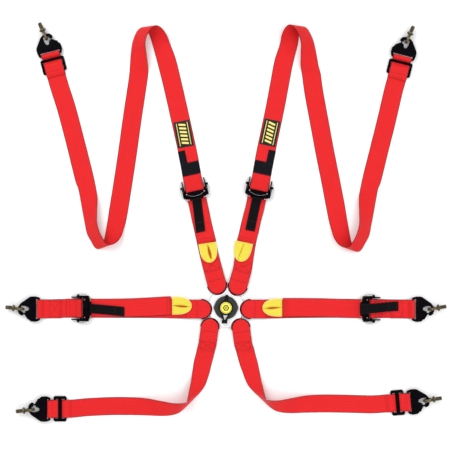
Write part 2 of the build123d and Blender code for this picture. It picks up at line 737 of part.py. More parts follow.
def build_adjuster(name):
    """Adjuster frame with its bars and pivots, and the lever with its pull rod."""
    frame = ADJUSTERS[name]
    kind = name.split("_")[1]
    cheek_middle = CHEEK_IN + CHEEK_THICK / 2
    with BuildPart() as body:
        for across in (cheek_middle, -cheek_middle):
            extrude(plate_sketch(frame, across, CHEEK_OUTLINE), amount=CHEEK_THICK / 2, both=True)
        roller = rod_sketch(frame, ROLLER_U[kind], ROLLER_Z, ROLLER_RADIUS)
        extrude(roller, amount=cheek_middle, both=True)
        anchor = rod_sketch(frame, ANCHOR_U[kind], ANCHOR_Z, ANCHOR_RADIUS)
        extrude(anchor, amount=cheek_middle, both=True)
        for hand in (1, -1):
            origin = frame.from_local_coords((PIVOT_U, hand * CHEEK_IN, PIVOT_Z))
            with BuildSketch(Plane(origin=origin, x_dir=frame.x_dir, z_dir=frame.y_dir * hand)):
                Circle(PIVOT_RADIUS)
            extrude(amount=PIVOT_LENGTH)
    save(body.part, f"{name}_adjuster_frame")

    arm_middle = CHEEK_IN + CHEEK_THICK + ARM_GAP + ARM_THICK / 2
    with BuildPart() as lever:
        for across in (arm_middle, -arm_middle):
            arm = plate_sketch(frame, across, ARM_OUTLINE, [(PIVOT_U, PIVOT_Z, PIVOT_RADIUS + GAP)])
            extrude(arm, amount=ARM_THICK / 2, both=True)
        with BuildSketch(frame.offset(PLATE_LOW)):
            with Locations((-14.0, 0)):
                Rectangle(16.0, 2 * arm_middle)
        extrude(amount=PLATE_THICK)
        extrude(plate_sketch(frame, 0, LIP_OUTLINE), amount=LIP_HALF, both=True)
        with BuildSketch(frame.offset(PLATE_LOW)):
            with Locations((-24.5, 16.5), (-24.5, -16.5)):
                Rectangle(9.0, 5.0)
        extrude(amount=3.0)
        rod = rod_sketch(frame, TAB_ROD_U, TAB_ROD_Z, TAB_ROD_RADIUS)
        extrude(rod, amount=TAB_ROD_HALF, both=True)
    save(lever.part, f"{name}_adjuster_lever")


def chest_end(frame):
    """Shoulder: the chest webbing's loop round the adjuster's anchor bar, sewn back on itself."""
    points = [(-60.0, FLOOR_LAYER), (-30.0, FLOOR_LAYER)]
    points += arc_points(ANCHOR_U["shoulder"], ANCHOR_Z, ANCHOR_WRAP, -90.0, 90.0, 6)
    points += [(-24.0, 7.2), (-33.0, SEWN_LAYER), (-52.0, SEWN_LAYER)]
    return frame_stations(frame, points, WEB_WIDTH)


def build_tab(name, stations):
    """A pull tab: a webbing strip looped round the lever's rod."""
    save(strip(stations, TAB_THICKNESS), f"{name}_pull_tab")


def tab_stations(name):
    """The tab's loop round its rod, then its run toward the buckle, or back over the lever."""
    frame = ADJUSTERS[name]
    if name == "right_lap":
        loop = arc_points(TAB_ROD_U, TAB_ROD_Z, TAB_WRAP, -60.0, -270.0, 7)
        run = [(-14.0, 18.9, 0.6), (2.0, 19.2, 1.6), (18.0, 17.0, 2.8), (34.0, 9.0, 4.0)]
        run += [(48.0, 5.2, 5.2), (74.0, 4.8, 7.0)]
    else:
        loop = arc_points(TAB_ROD_U, TAB_ROD_Z, TAB_WRAP, 60.0, 200.0, 5)
        end_v = {"left_shoulder": 9.3, "right_shoulder": 0.2, "left_lap": 9.3}[name]
        run = [(-33.5, 10.5, end_v * 0.1), (-42.0, 6.6, end_v * 0.2), (-56.0, 5.9, end_v * 0.35)]
        run += [(-85.0, 5.9, end_v * 0.65), (-117.0, 5.9, end_v)]
    stations = frame_stations(frame, loop, TAB_WIDTH)
    for u, z, v in run:
        stations += frame_stations(frame, [(u, z)], TAB_WIDTH, across=v)
    return stations


# ---- straps -------------------------------------------------------------------------------
def with_height(points, height):
    """Add one height to a list of floor points."""
    return [(x, y, height) for x, y in points]


def build_shoulder(hand):
    """Chest webbing, main webbing with both fold-overs, and the fittings of one shoulder."""
    name = f"{hand}_shoulder"
    frame = ADJUSTERS[name]
    chest = flat_stations(SHOULDER_CHEST[hand], WEB_WIDTH) + chest_end(frame)
    save(sleeve_run(name, chest), f"{hand}_chest_webbing")

    tail = flat_stations(list(reversed(SHOULDER_TAIL[hand])), WEB_WIDTH)
    over = frame_stations(
        frame,
        [(-58.0, OVER_LAYER), (-34.0, OVER_LAYER), (-24.0, 9.6), (-17.0, 10.4), (-11.0, 10.6)]
        + arc_points(ROLLER_U["shoulder"], ROLLER_Z, ROLLER_WRAP, 110.0, 60.0, 3)
        + [(9.0, 6.0), (20.0, 1.4), (30.0, FLOOR_LAYER)],
        WEB_WIDTH,
    )
    if hand == "left":
        top = swap(TOP_FOLD)
        bottom = swap(BOTTOM_FOLD)
    else:
        top = bent(TOP_FOLD, -1, (-5.4, 0), (-12.0, 2.5), (-5.4, 0))
        bottom = bent(BOTTOM_FOLD, -1, (8.0, 0), (0.0, -8.0), (12.0, 0))
    arm_1 = flat_stations(with_height(SHOULDER_ARM_1[hand], FLOOR_LAYER), WEB_WIDTH)
    arm_2 = swap(flat_stations(with_height(SHOULDER_ARM_2[hand], FLOOR_LAYER), WEB_WIDTH))
    arm_3 = flat_stations(with_height(SHOULDER_ARM_3[hand], FLOOR_LAYER), WEB_WIDTH)
    route = tail + over + arm_1 + top + arm_2 + bottom + arm_3 + shoulder_hook_end(name)
    save(strip(route), f"{hand}_main_webbing")


def build_lap(hand):
    """Lap webbing with its returned tail, and the sewn anchor webbing."""
    name = f"{hand}_lap"
    frame = ADJUSTERS[name]
    side = -1 if hand == "left" else 1
    floor = [(side * 170.0, -4.0, FLOOR_LAYER), (side * 330.0, -2.8, FLOOR_LAYER)]
    start = flat_stations([(side * 138.0, -4.4, 3.0)] + floor, WEB_WIDTH)
    wrap = frame_stations(
        frame,
        [(-34.0, FLOOR_LAYER)]
        + arc_points(ROLLER_U["lap"], ROLLER_Z, ROLLER_WRAP, -90.0, 90.0, 8)
        + [(-22.0, 9.8), (-36.0, 3.4), (-56.0, TAIL_LAYER)],
        WEB_WIDTH,
    )
    end_x, end_y = LAP_TAIL_END[hand]
    tail = flat_stations(
        [(side * 250.0, -1.0, TAIL_LAYER), (end_x, end_y, TAIL_LAYER + 1.6)], WEB_WIDTH
    )
    tail = swap(tail)
    save(sleeve_run(name, start + wrap + tail), f"{hand}_lap_webbing")

    near = frame_stations(
        frame,
        [(40.0, SEWN_LAYER), (20.0, SEWN_LAYER), (9.0, 7.6)]
        + arc_points(ANCHOR_U["lap"], ANCHOR_Z, ANCHOR_WRAP, 90.0, 270.0, 6)
        + [(20.0, FLOOR_LAYER)],
        WEB_WIDTH,
    )
    far = frame_stations(
        HOOK_FRAMES[name],
        [(-30.0, FLOOR_LAYER), (-16.0, 1.6)]
        + arc_points(BAR_U, HOOK_LOW + HOOK_THICK / 2, LOOP_RADIUS, -90.0, 115.0, 7)
        + [(-17.0, 4.6), (-30.0, SEWN_LAYER), (-62.0, SEWN_LAYER)],
        WEB_WIDTH,
    )
    save(strip(near + far), f"{hand}_anchor_webbing")


def build_crotch(hand):
    """One crotch strap: sleeve, banked bend, slider weave and hook loop."""
    name = f"{hand}_crotch"
    if hand == "left":
        bend = [(Vector(*low), Vector(*high)) for low, high in CROTCH_BEND]
    else:
        bend = swap(bent(CROTCH_BEND, -1, (0, 0), (2.5, 3.5), (0.0, 7.0)))
    stations = flat_stations(CROTCH_ARM_1[hand], CROTCH_WIDTH) + bend
    stations += flat_stations(CROTCH_ARM_2[hand], CROTCH_WIDTH)
    stations += crotch_hook_end(name)
    save(sleeve_run(name, stations), f"{hand}_crotch_webbing")


# ---- sewn-on pieces -----------------------------------------------------------------------
def build_finger_loops():
    """Four tape loops sewn to the tail ends, each with its finger slit.

    Each lies on the rising webbing in front of its tail, so it slopes up toward the buckle.
    """
    outline = [(-1, 24), (-1, -24), (-34, -23), (-48, -14), (-54, 0), (-48, 14), (-34, 23)]
    with BuildPart() as loops:
        for name, frame in FINGER_LOOPS.items():
            low, slope = LOOP_LIES[name.split("_")[1]]
            rise = math.radians(slope)
            along = frame.x_dir * math.cos(rise) - Vector(0, 0, math.sin(rise))
            origin = frame.from_local_coords((0, 0, low))
            with BuildSketch(Plane(origin=origin, x_dir=along, z_dir=along.cross(frame.y_dir))):
                with BuildLine():
                    Polyline(*outline, close=True)
                make_face()
                with Locations((-25.0, 0)):
                    SlotOverall(38.0, LOOP_SLIT, mode=Mode.SUBTRACT)
            extrude(amount=2 * WEB_THICKNESS)
    save(loops.part, "finger_loops")


def build_patches():
    """Hook-and-loop patches and blank labels on the shoulder webbing."""
    top = FLOOR_LAYER + WEB_THICKNESS / 2
    with BuildPart() as patches:
        for hand, side in (("left", 1), ("right", -1)):
            x, y = (-95.7, 374.0) if hand == "left" else (100.2, 376.0)
            frame = fitting_frame(x, y, 12.4 * side)
            with BuildSketch(frame.offset(top)):
                Rectangle(35.0, WEB_WIDTH)
                with Locations((34.5, side * (WEB_WIDTH / 2 - 11.3))):
                    Rectangle(35.0, 19.4)
            extrude(amount=1.6)
    save(patches.part, "hook_and_loop_patches")

    with BuildPart() as labels:
        for x, y, heading in ((-114.2, 467.4, 10.6), (118.6, 471.0, -12.4)):
            with BuildSketch(fitting_frame(x, y, heading).offset(top)):
                RectangleRounded(71.0, 43.7, 1.5)
            extrude(amount=0.8)
    save(labels.part, "shoulder_labels")


build_buckle()
for strap in SLEEVES:
    build_tongue(strap)
    build_hook(strap)
    build_eye_bolt(strap)
for strap in SLIDERS:
    build_slider(strap)
for strap in ADJUSTERS:
    build_adjuster(strap)
    build_tab(strap, tab_stations(strap))
for hand in ("left", "right"):
    build_shoulder(hand)
    build_lap(hand)
    build_crotch(hand)
build_finger_loops()
build_patches()
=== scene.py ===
"""Looks of a six-point racing harness laid out flat: webbing, tapes, seams, buckle and fittings.

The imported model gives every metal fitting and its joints. The straps, tapes, labels, dial and eye
bolts are built here in full and stand for their plain nodes. Tables are in millimetres and turn
into metres in Spot and Route. In a fitting's own frame u runs out along its strap, v to the left
of travel and z up.
"""

import json
import logging
import math
from dataclasses import dataclass, field
from enum import Enum
from typing import ClassVar

import bpy
import numpy as np
from mathutils import Matrix, Vector
from mathutils.bvhtree import BVHTree


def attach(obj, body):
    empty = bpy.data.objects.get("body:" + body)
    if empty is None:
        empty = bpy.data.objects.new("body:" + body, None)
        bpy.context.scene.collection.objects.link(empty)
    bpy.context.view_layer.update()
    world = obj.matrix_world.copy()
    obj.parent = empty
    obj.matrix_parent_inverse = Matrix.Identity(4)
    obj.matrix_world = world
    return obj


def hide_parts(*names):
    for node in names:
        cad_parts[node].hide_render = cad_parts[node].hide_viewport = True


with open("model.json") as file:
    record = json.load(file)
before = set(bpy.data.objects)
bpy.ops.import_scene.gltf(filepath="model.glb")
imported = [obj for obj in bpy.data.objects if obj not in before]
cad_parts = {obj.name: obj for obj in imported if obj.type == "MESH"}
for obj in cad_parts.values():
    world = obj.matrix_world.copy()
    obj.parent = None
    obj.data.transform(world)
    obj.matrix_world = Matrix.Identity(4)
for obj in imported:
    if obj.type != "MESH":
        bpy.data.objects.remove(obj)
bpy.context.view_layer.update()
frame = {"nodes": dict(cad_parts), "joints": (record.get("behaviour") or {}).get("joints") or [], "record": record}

LOG = logging.getLogger("harness")
MM = 0.001
ROOT_BODY = "harness"
WEB_WIDTH = 50.8
CROTCH_WIDTH = 48.5
TAB_WIDTH = 25.6
WEB_THICK = 1.4
TAB_THICK = 1.2
FLOOR_LAYER = 0.72
SEWN_LAYER = 2.3
TAIL_LAYER = 2.6
OVER_LAYER = 4.2
SLEEVE_MIDDLE = 6.5
SLEEVE_THICK = 5.4
Color = tuple[float, float, float]
Pair = tuple[tuple[float, float, float], tuple[float, float, float]]
Mesh = tuple[list[Vector], list[tuple[int, ...]]]


class Hand(Enum):
    """The two sides of the harness, with the sign of their X."""

    LEFT = ("left", -1)
    RIGHT = ("right", 1)

    @property
    def word(self) -> str:
        """The side's word in node names."""
        return self.value[0]

    @property
    def sign(self) -> int:
        """The sign of X on this side."""
        return self.value[1]


# ---- places -------------------------------------------------------------------------------
@dataclass(frozen=True)
class Spot:
    """A fitting's own frame on the floor, in millimetres and degrees left of +Y."""

    x: float
    y: float
    heading: float

    @property
    def along(self) -> Vector:
        """Unit vector of u."""
        turn = math.radians(self.heading)
        return Vector((-math.sin(turn), math.cos(turn), 0.0))

    @property
    def across(self) -> Vector:
        """Unit vector of v."""
        turn = math.radians(self.heading)
        return Vector((-math.cos(turn), -math.sin(turn), 0.0))

    def at(self, u: float, v: float, z: float) -> Vector:
        """A point of this frame, in metres.

        Args:
            u: Distance out along the strap, in millimetres.
            v: Distance to the left of travel.
            z: Height above the floor.

        Returns:
            The point in the shared frame.
        """
        flat = Vector((self.x, self.y, z)) + self.along * u + self.across * v
        return flat * MM

    def matrix(self) -> Matrix:
        """Placement of a mesh drawn in this frame, in metres."""
        turned = Matrix((self.along, self.across, Vector((0, 0, 1)))).transposed().to_4x4()
        return Matrix.Translation(Vector((self.x, self.y, 0)) * MM) @ turned


class Places:
    """Where the fittings are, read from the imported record's joints and mounts."""

    PIVOT_U = 7.0
    HOOK_BAR_U = -2.5

    def __init__(self) -> None:
        """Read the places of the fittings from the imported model."""
        self.joints = {joint["name"]: joint for joint in frame["joints"]}
        self.mounts = {mount["name"]: mount for mount in frame["record"]["mounts"]}

    def adjuster(self, name: str) -> Spot:
        """Frame of a lever adjuster, from its lever's hinge.

        Args:
            name: The adjuster, by its strap.

        Returns:
            Its frame on the webbing.
        """
        joint = self.joints[f"{name}_lever_lift"]
        heading = math.degrees(math.atan2(-joint["axis"][1], -joint["axis"][0]))
        return self._from(joint["pos_m"], heading, self.PIVOT_U)

    def hook(self, name: str) -> Spot:
        """Frame of a snap hook, from its swing on the webbing.

        Args:
            name: The hook, by its strap.

        Returns:
            Its frame at the webbing bar.
        """
        joint = self.joints[f"{name}_hook_swing"]
        heading = math.degrees(math.atan2(joint["axis"][1], joint["axis"][0]))
        return self._from(joint["pos_m"], heading, self.HOOK_BAR_U)

    def bolt(self, name: str) -> Spot:
        """Frame of an eye bolt: its ring's centre and the way its shank points.

        Args:
            name: The eye bolt, by its strap.

        Returns:
            Its frame at the eye's middle.
        """
        axis = self.mounts[f"{name}_thread"]["axis"]
        heading = math.degrees(math.atan2(-axis[0], axis[1]))
        return self._from(self.joints[f"{name}_bolt_swivel"]["pos_m"], heading, 0.0)

    @staticmethod
    def _from(position: list[float], heading: float, u: float) -> Spot:
        """A frame whose point at u is the given one.

        Args:
            position: The known point, in metres.
            heading: The frame's heading in degrees.
            u: Where the known point lies along the frame.

        Returns:
            The frame.
        """
        turn = math.radians(heading)
        x = position[0] / MM + math.sin(turn) * u
        y = position[1] / MM - math.cos(turn) * u
        return Spot(x, y, heading)


PLACES = Places()
SLEEVES = {
    "left_shoulder": Spot(-24.6, 62.4, 15.0),
    "right_shoulder": Spot(32.5, 59.6, -15.5),
    "left_lap": Spot(-66.3, -4.6, 90.0),
    "right_lap": Spot(66.3, -4.6, -90.0),
    "left_crotch": Spot(-43.7, -55.0, 172.0),
    "right_crotch": Spot(40.3, -56.0, -172.0),
}
SLIDERS = {
    "left_shoulder": Spot(-464.9, 652.3, 14.6),
    "right_shoulder": Spot(467.8, 644.5, -14.0),
    "left_crotch": Spot(-447.5, -273.4, 90.0),
    "right_crotch": Spot(463.0, -257.0, -85.0),
}
LOOPS = {
    "left_shoulder": Spot(-50.4, 174.4, 8.3),
    "right_shoulder": Spot(49.2, 176.6, -11.7),
    "left_lap": Spot(-146.2, 4.7, 90.0),
    "right_lap": Spot(152.1, -0.4, -90.0),
}
ADJUSTER_NAMES = ("left_shoulder", "right_shoulder", "left_lap", "right_lap")
HOOK_NAMES = tuple(SLEEVES)


def widths(name: str) -> float:
    """Webbing width of a strap."""
    return CROTCH_WIDTH if "crotch" in name else WEB_WIDTH


def round_bar(
    u: float, z: float, radius: float, start: float, end: float, steps: int
) -> list[tuple[float, float]]:
    """Points round a crosswise bar.

    Args:
        u: The bar's place along the frame.
        z: The bar's height.
        radius: Distance from the bar's axis.
        start: First angle in degrees.
        end: Last angle in degrees.
        steps: Number of steps between them.

    Returns:
        A list of (u, z).
    """
    angles = [math.radians(start + (end - start) * step / steps) for step in range(steps + 1)]
    return [(u + radius * math.cos(a), z + radius * math.sin(a)) for a in angles]


# ---- node trees ---------------------------------------------------------------------------
class Graph:
    """Short calls for building one node tree."""

    def __init__(self, tree: bpy.types.NodeTree) -> None:
        """Start on a node tree.

        Args:
            tree: The node tree that the graph writes to.
        """
        self.tree = tree

    def add(self, kind: str, **settings: object) -> bpy.types.Node:
        """Add a node and set its properties.

        Args:
            kind: The node's type.
            settings: Its properties.

        Returns:
            The new node.
        """
        node = self.tree.nodes.new(kind)
        for key, value in settings.items():
            setattr(node, key, value)
        return node

    def feed(self, socket: bpy.types.NodeSocket, value: object) -> None:
        """Link a socket to another one, or set its value.

        Args:
            socket: The input to fill.
            value: An output socket, a number, or a colour.
        """
        if isinstance(value, bpy.types.NodeSocket):
            self.tree.links.new(value, socket)
        elif isinstance(value, tuple) and len(value) == 3 and socket.type == "RGBA":
            socket.default_value = (*value, 1.0)
        else:
            socket.default_value = value

    def math(self, operation: str, *values: object) -> bpy.types.NodeSocket:
        """The result of a Math node.

        Args:
            operation: The sum to do.
            values: Numbers or sockets.

        Returns:
            The result.
        """
        node = self.add("ShaderNodeMath", operation=operation)
        for index, value in enumerate(values):
            self.feed(node.inputs[index], value)
        return node.outputs[0]

    def blend(self, factor: object, first: object, second: object) -> bpy.types.NodeSocket:
        """Two colours mixed by a factor.

        Args:
            factor: 0 for the first, 1 for the second.
            first: A colour or socket.
            second: A colour or socket.

        Returns:
            The mixed colour.
        """
        node = self.add("ShaderNodeMix", data_type="RGBA")
        self.feed(node.inputs[0], factor)
        self.feed(node.inputs[6], first)
        self.feed(node.inputs[7], second)
        return node.outputs[2]

    def between(
        self, value: object, low: float, high: float, start: float, end: float
    ) -> bpy.types.NodeSocket:
        """A value carried from one range to another, with its ends held.

        Args:
            value: The number to map.
            low: Where the range starts.
            high: Where it ends.
            start: The result at low.
            end: The result at high.

        Returns:
            The mapped number.
        """
        node = self.add("ShaderNodeMapRange", interpolation_type="SMOOTHSTEP")
        for index, number in enumerate((value, low, high, start, end)):
            self.feed(node.inputs[index], number)
        return node.outputs[0]

    def noise(self, vector: object, scale: object, detail: float = 2.0) -> bpy.types.NodeSocket:
        """A noise value.

        Args:
            vector: Where to read it.
            scale: How fine it is.
            detail: How many octaves.

        Returns:
            The noise's value.
        """
        node = self.add("ShaderNodeTexNoise")
        self.feed(node.inputs["Vector"], vector)
        self.feed(node.inputs["Scale"], scale)
        node.inputs["Detail"].default_value = detail
        return node.outputs[0]

    def uv(self, name: str) -> tuple[bpy.types.NodeSocket, bpy.types.NodeSocket]:
        """The two parts of a strap's own map.

        Args:
            name: The map.

        Returns:
            Its two coordinates.
        """
        split = self.add("ShaderNodeSeparateXYZ")
        self.feed(split.inputs[0], self.add("ShaderNodeUVMap", uv_map=name).outputs[0])
        return split.outputs[0], split.outputs[1]


class Effects:
    """Node groups that several finishes share, each built once."""

    @staticmethod
    def _group(
        name: str, inputs: dict[str, float | None], outputs: dict[str, str]
    ) -> tuple[bpy.types.NodeTree, Graph, bpy.types.Node, bpy.types.Node]:
        """Make an empty group with named sockets.

        Args:
            name: The group's name.
            inputs: Number inputs with their defaults; None makes a vector input.
            outputs: Output names with FLOAT, COLOR or VECTOR.

        Returns:
            The group, its graph, its input node and its output node.
        """
        tree = bpy.data.node_groups.new(name, "ShaderNodeTree")
        kinds = {"FLOAT": "NodeSocketFloat", "VECTOR": "NodeSocketVector"}
        for socket, default in inputs.items():
            kind = "VECTOR" if default is None else "FLOAT"
            made = tree.interface.new_socket(socket, in_out="INPUT", socket_type=kinds[kind])
            if default is not None:
                made.default_value = default
        for socket, kind in outputs.items():
            tree.interface.new_socket(socket, in_out="OUTPUT", socket_type=kinds[kind])
        graph = Graph(tree)
        return tree, graph, graph.add("NodeGroupInput"), graph.add("NodeGroupOutput")

    @classmethod
    def weave(cls) -> bpy.types.NodeTree:
        """Warp yarns side by side, each crossed by weft half a step from its neighbour.

        Returns:
            The group, made once.
        """
        found = bpy.data.node_groups.get("woven_yarns")
        if found:
            return found
        tree, g, given, out = cls._group(
            "woven_yarns",
            {"Across": 0.0, "Along": 0.0, "Yarn": 0.0011, "Pick": 0.0021},
            {"Height": "FLOAT", "Shade": "FLOAT"},
        )
        yarn = g.math("DIVIDE", given.outputs["Across"], given.outputs["Yarn"])
        shift = g.math("MULTIPLY", g.math("PINGPONG", g.math("FLOOR", yarn), 1.0), 0.5)
        pick = g.math("ADD", g.math("DIVIDE", given.outputs["Along"], given.outputs["Pick"]), shift)
        round_yarn = g.math("ABSOLUTE", g.math("SINE", g.math("MULTIPLY", yarn, math.pi)))
        round_pick = g.math("ABSOLUTE", g.math("SINE", g.math("MULTIPLY", pick, math.pi)))
        height = g.math("POWER", g.math("MULTIPLY", round_yarn, round_pick), 0.6)
        g.feed(out.inputs["Height"], height)
        g.feed(out.inputs["Shade"], g.between(height, 0.0, 0.75, 0.0, 1.0))
        return tree

    @classmethod
    def grain(cls) -> bpy.types.NodeTree:
        """Fine and coarse unevenness of cast, painted or moulded surfaces.

        Returns:
            The group, made once.
        """
        found = bpy.data.node_groups.get("surface_grain")
        if found:
            return found
        tree, g, given, out = cls._group(
            "surface_grain",
            {"Vector": None, "Fine": 900.0, "Coarse": 60.0},
            {"Height": "FLOAT", "Cloud": "FLOAT"},
        )
        fine = g.noise(given.outputs["Vector"], given.outputs["Fine"], 3.0)
        coarse = g.noise(given.outputs["Vector"], given.outputs["Coarse"], 2.0)
        g.feed(out.inputs["Height"], fine)
        g.feed(out.inputs["Cloud"], g.between(coarse, 0.3, 0.7, 0.0, 1.0))
        return tree

    @classmethod
    def wear(cls) -> bpy.types.NodeTree:
        """A mask of rubbed edges, broken up by noise.

        Returns:
            The group, made once.
        """
        found = bpy.data.node_groups.get("edge_wear")
        if found:
            return found
        tree, g, given, out = cls._group(
            "edge_wear", {"Vector": None, "Radius": 0.0008, "Break": 400.0}, {"Mask": "FLOAT"}
        )
        bevel = g.add("ShaderNodeBevel", samples=4)
        g.feed(bevel.inputs["Radius"], given.outputs["Radius"])
        plain = g.add("ShaderNodeNewGeometry")
        facing = g.add("ShaderNodeVectorMath", operation="DOT_PRODUCT")
        g.feed(facing.inputs[0], bevel.outputs[0])
        g.feed(facing.inputs[1], plain.outputs["Normal"])
        edge = g.between(facing.outputs["Value"], 0.99, 0.86, 0.0, 1.0)
        broken = g.between(g.noise(given.outputs["Vector"], given.outputs["Break"]), 0.35, 0.6, 0.2, 1.0)
        g.feed(out.inputs["Mask"], g.math("MULTIPLY", edge, broken))
        return tree


def place_group(graph: Graph, tree: bpy.types.NodeTree, **values: object) -> bpy.types.Node:
    """Put a shared effect in a material and fill its inputs.

    Args:
        graph: The material's graph.
        tree: The shared group.
        **values: Input names with their values or sockets.

    Returns:
        The group node.
    """
    node = graph.add("ShaderNodeGroup", node_tree=tree)
    for name, value in values.items():
        graph.feed(node.inputs[name], value)
    return node


def start_material(name: str) -> tuple[bpy.types.Material, Graph, bpy.types.Node]:
    """Make an empty material with its shader.

    Args:
        name: The material's name.

    Returns:
        The material, its graph and its Principled node.
    """
    material = bpy.data.materials.new(name)
    material.use_nodes = True
    graph = Graph(material.node_tree)
    shader = material.node_tree.nodes["Principled BSDF"]
    return material, graph, shader


def raise_surface(graph: Graph, shader: bpy.types.Node, height: object, depth: float) -> None:
    """Give a shader a bump.

    Args:
        graph: The material's graph.
        shader: Its Principled node.
        height: The height output.
        depth: The height's full size in metres.
    """
    bump = graph.add("ShaderNodeBump")
    bump.inputs["Strength"].default_value = 1.0
    bump.inputs["Distance"].default_value = depth
    graph.feed(bump.inputs["Height"], height)
    graph.feed(shader.inputs["Normal"], bump.outputs[0])


# ---- finishes -----------------------------------------------------------------------------
@dataclass(frozen=True)
class Webbing:
    """Woven webbing or tape, with painted shade in the gaps between its yarns and a painted band along its edges:
    a dark shade where the red webbing's rounded edge turns from the light, a lighter edge on the black and yellow
    tapes.
    """

    name: str
    color: Color
    gap_color: Color
    edge_color: Color
    edge: float = 0.0013
    yarn: float = 0.0011
    pick: float = 0.0021
    depth: float = 0.00022
    roughness: float = 0.62
    specular: float = 0.16
    sheen: float = 0.03

    def material(self) -> bpy.types.Material:
        """The finish as a material, made once.

        Returns:
            The material.
        """
        found = bpy.data.materials.get(self.name)
        if found:
            return found
        material, g, shader = start_material(self.name)
        across, along = g.uv("strap")
        margin, _ = g.uv("margin")
        yarns = place_group(g, Effects.weave(), Across=across, Along=along, Yarn=self.yarn, Pick=self.pick)
        spot = g.add("ShaderNodeTexCoord").outputs["Object"]
        cloud = place_group(g, Effects.grain(), Vector=spot, Fine=260.0, Coarse=34.0)
        # Painted shade between the yarns: where the weave is low, the gap shade colour takes over.
        woven = g.blend(yarns.outputs["Shade"], self.gap_color, self.color)
        faded = tuple(min(1.0, part * 0.80) for part in self.color)
        uneven = g.math("MULTIPLY", cloud.outputs["Cloud"], 0.35)
        woven = g.blend(uneven, woven, faded)
        # Darker lines along the strap every 8.5 mm: painted shade of the grooves between ribs, in the gap shade
        # colour.
        rib = g.math("SINE", g.math("MULTIPLY", across, 2 * math.pi / 0.0085))
        woven = g.blend(g.between(rib, 0.80, 1.0, 0.0, 0.25), woven, self.gap_color)
        # Painted shade and tint along the edges: the edge colour is blended in within the edge band, darker on the
        # red webbing where its rounded edge turns from the light, lighter on the black and yellow tapes.
        edge = g.between(margin, self.edge * 0.5, self.edge, 1.0, 0.0)
        g.feed(shader.inputs["Base Color"], g.blend(edge, woven, self.edge_color))
        rough = g.between(cloud.outputs["Height"], 0.3, 0.7, self.roughness - 0.06, self.roughness + 0.08)
        g.feed(shader.inputs["Roughness"], rough)
        shader.inputs["Specular IOR Level"].default_value = self.specular
        shader.inputs["Sheen Weight"].default_value = self.sheen
        shader.inputs["Sheen Roughness"].default_value = 0.4
        raise_surface(g, shader, yarns.outputs["Height"], self.depth)
        return material


@dataclass(frozen=True)
class Metal:
    """Painted, plated or cast metal with rubbed edges."""

    name: str
    color: Color
    cloud_color: Color
    worn_color: Color
    metallic: float = 1.0
    roughness: float = 0.35
    wear: float = 0.5
    fine: float = 900.0
    coarse: float = 60.0
    depth: float = 0.00005
    coat: float = 0.0
    specular: float = 0.5

    def material(self) -> bpy.types.Material:
        """The finish as a material, made once.

        Returns:
            The material.
        """
        found = bpy.data.materials.get(self.name)
        if found:
            return found
        material, g, shader = start_material(self.name)
        spot = g.add("ShaderNodeTexCoord").outputs["Object"]
        grain = place_group(g, Effects.grain(), Vector=spot, Fine=self.fine, Coarse=self.coarse)
        worn = place_group(g, Effects.wear(), Vector=spot)
        mask = g.math("MULTIPLY", worn.outputs["Mask"], self.wear)
        color = g.blend(grain.outputs["Cloud"], self.color, self.cloud_color)
        g.feed(shader.inputs["Base Color"], g.blend(mask, color, self.worn_color))
        rough = g.between(grain.outputs["Height"], 0.3, 0.7, self.roughness - 0.05, self.roughness + 0.08)
        g.feed(shader.inputs["Roughness"], rough)
        shader.inputs["Metallic"].default_value = self.metallic
        shader.inputs["Specular IOR Level"].default_value = self.specular
        shader.inputs["Coat Weight"].default_value = self.coat
        shader.inputs["Coat Roughness"].default_value = 0.18
        raise_surface(g, shader, grain.outputs["Height"], self.depth)
        return material


@dataclass(frozen=True)
class Plastic:
    """Moulded plastic with a pebbled grain."""

    name: str
    color: Color
    cloud_color: Color
    roughness: float = 0.45
    fine: float = 1400.0
    depth: float = 0.00006
    coat: float = 0.0
    specular: float = 0.3

    def material(self) -> bpy.types.Material:
        """The finish as a material, made once.

        Returns:
            The material.
        """
        found = bpy.data.materials.get(self.name)
        if found:
            return found
        material, g, shader = start_material(self.name)
        spot = g.add("ShaderNodeTexCoord").outputs["Object"]
        grain = place_group(g, Effects.grain(), Vector=spot, Fine=self.fine, Coarse=120.0)
        g.feed(
            shader.inputs["Base Color"],
            g.blend(grain.outputs["Cloud"], self.color, self.cloud_color),
        )
        rough = g.between(grain.outputs["Height"], 0.3, 0.7, self.roughness - 0.05, self.roughness + 0.07)
        g.feed(shader.inputs["Roughness"], rough)
        shader.inputs["Coat Weight"].default_value = self.coat
        shader.inputs["Specular IOR Level"].default_value = self.specular
        raise_surface(g, shader, grain.outputs["Height"], self.depth)
        return material


# The red webbing's gap and edge colours are painted shade: darker hollows between the yarns and a dark line along
# the rounded edges.
RED = Webbing(
    "red_webbing_weave", (0.79, 0.017, 0.020), (0.50, 0.006, 0.008), (0.13, 0.004, 0.007), edge=0.0019,
)
YELLOW = Webbing(
    "yellow_tape_weave", (0.80, 0.68, 0.075), (0.66, 0.52, 0.030), (0.90, 0.74, 0.24),
    edge=0.0022, yarn=0.0014, pick=0.0016, roughness=0.5,
)
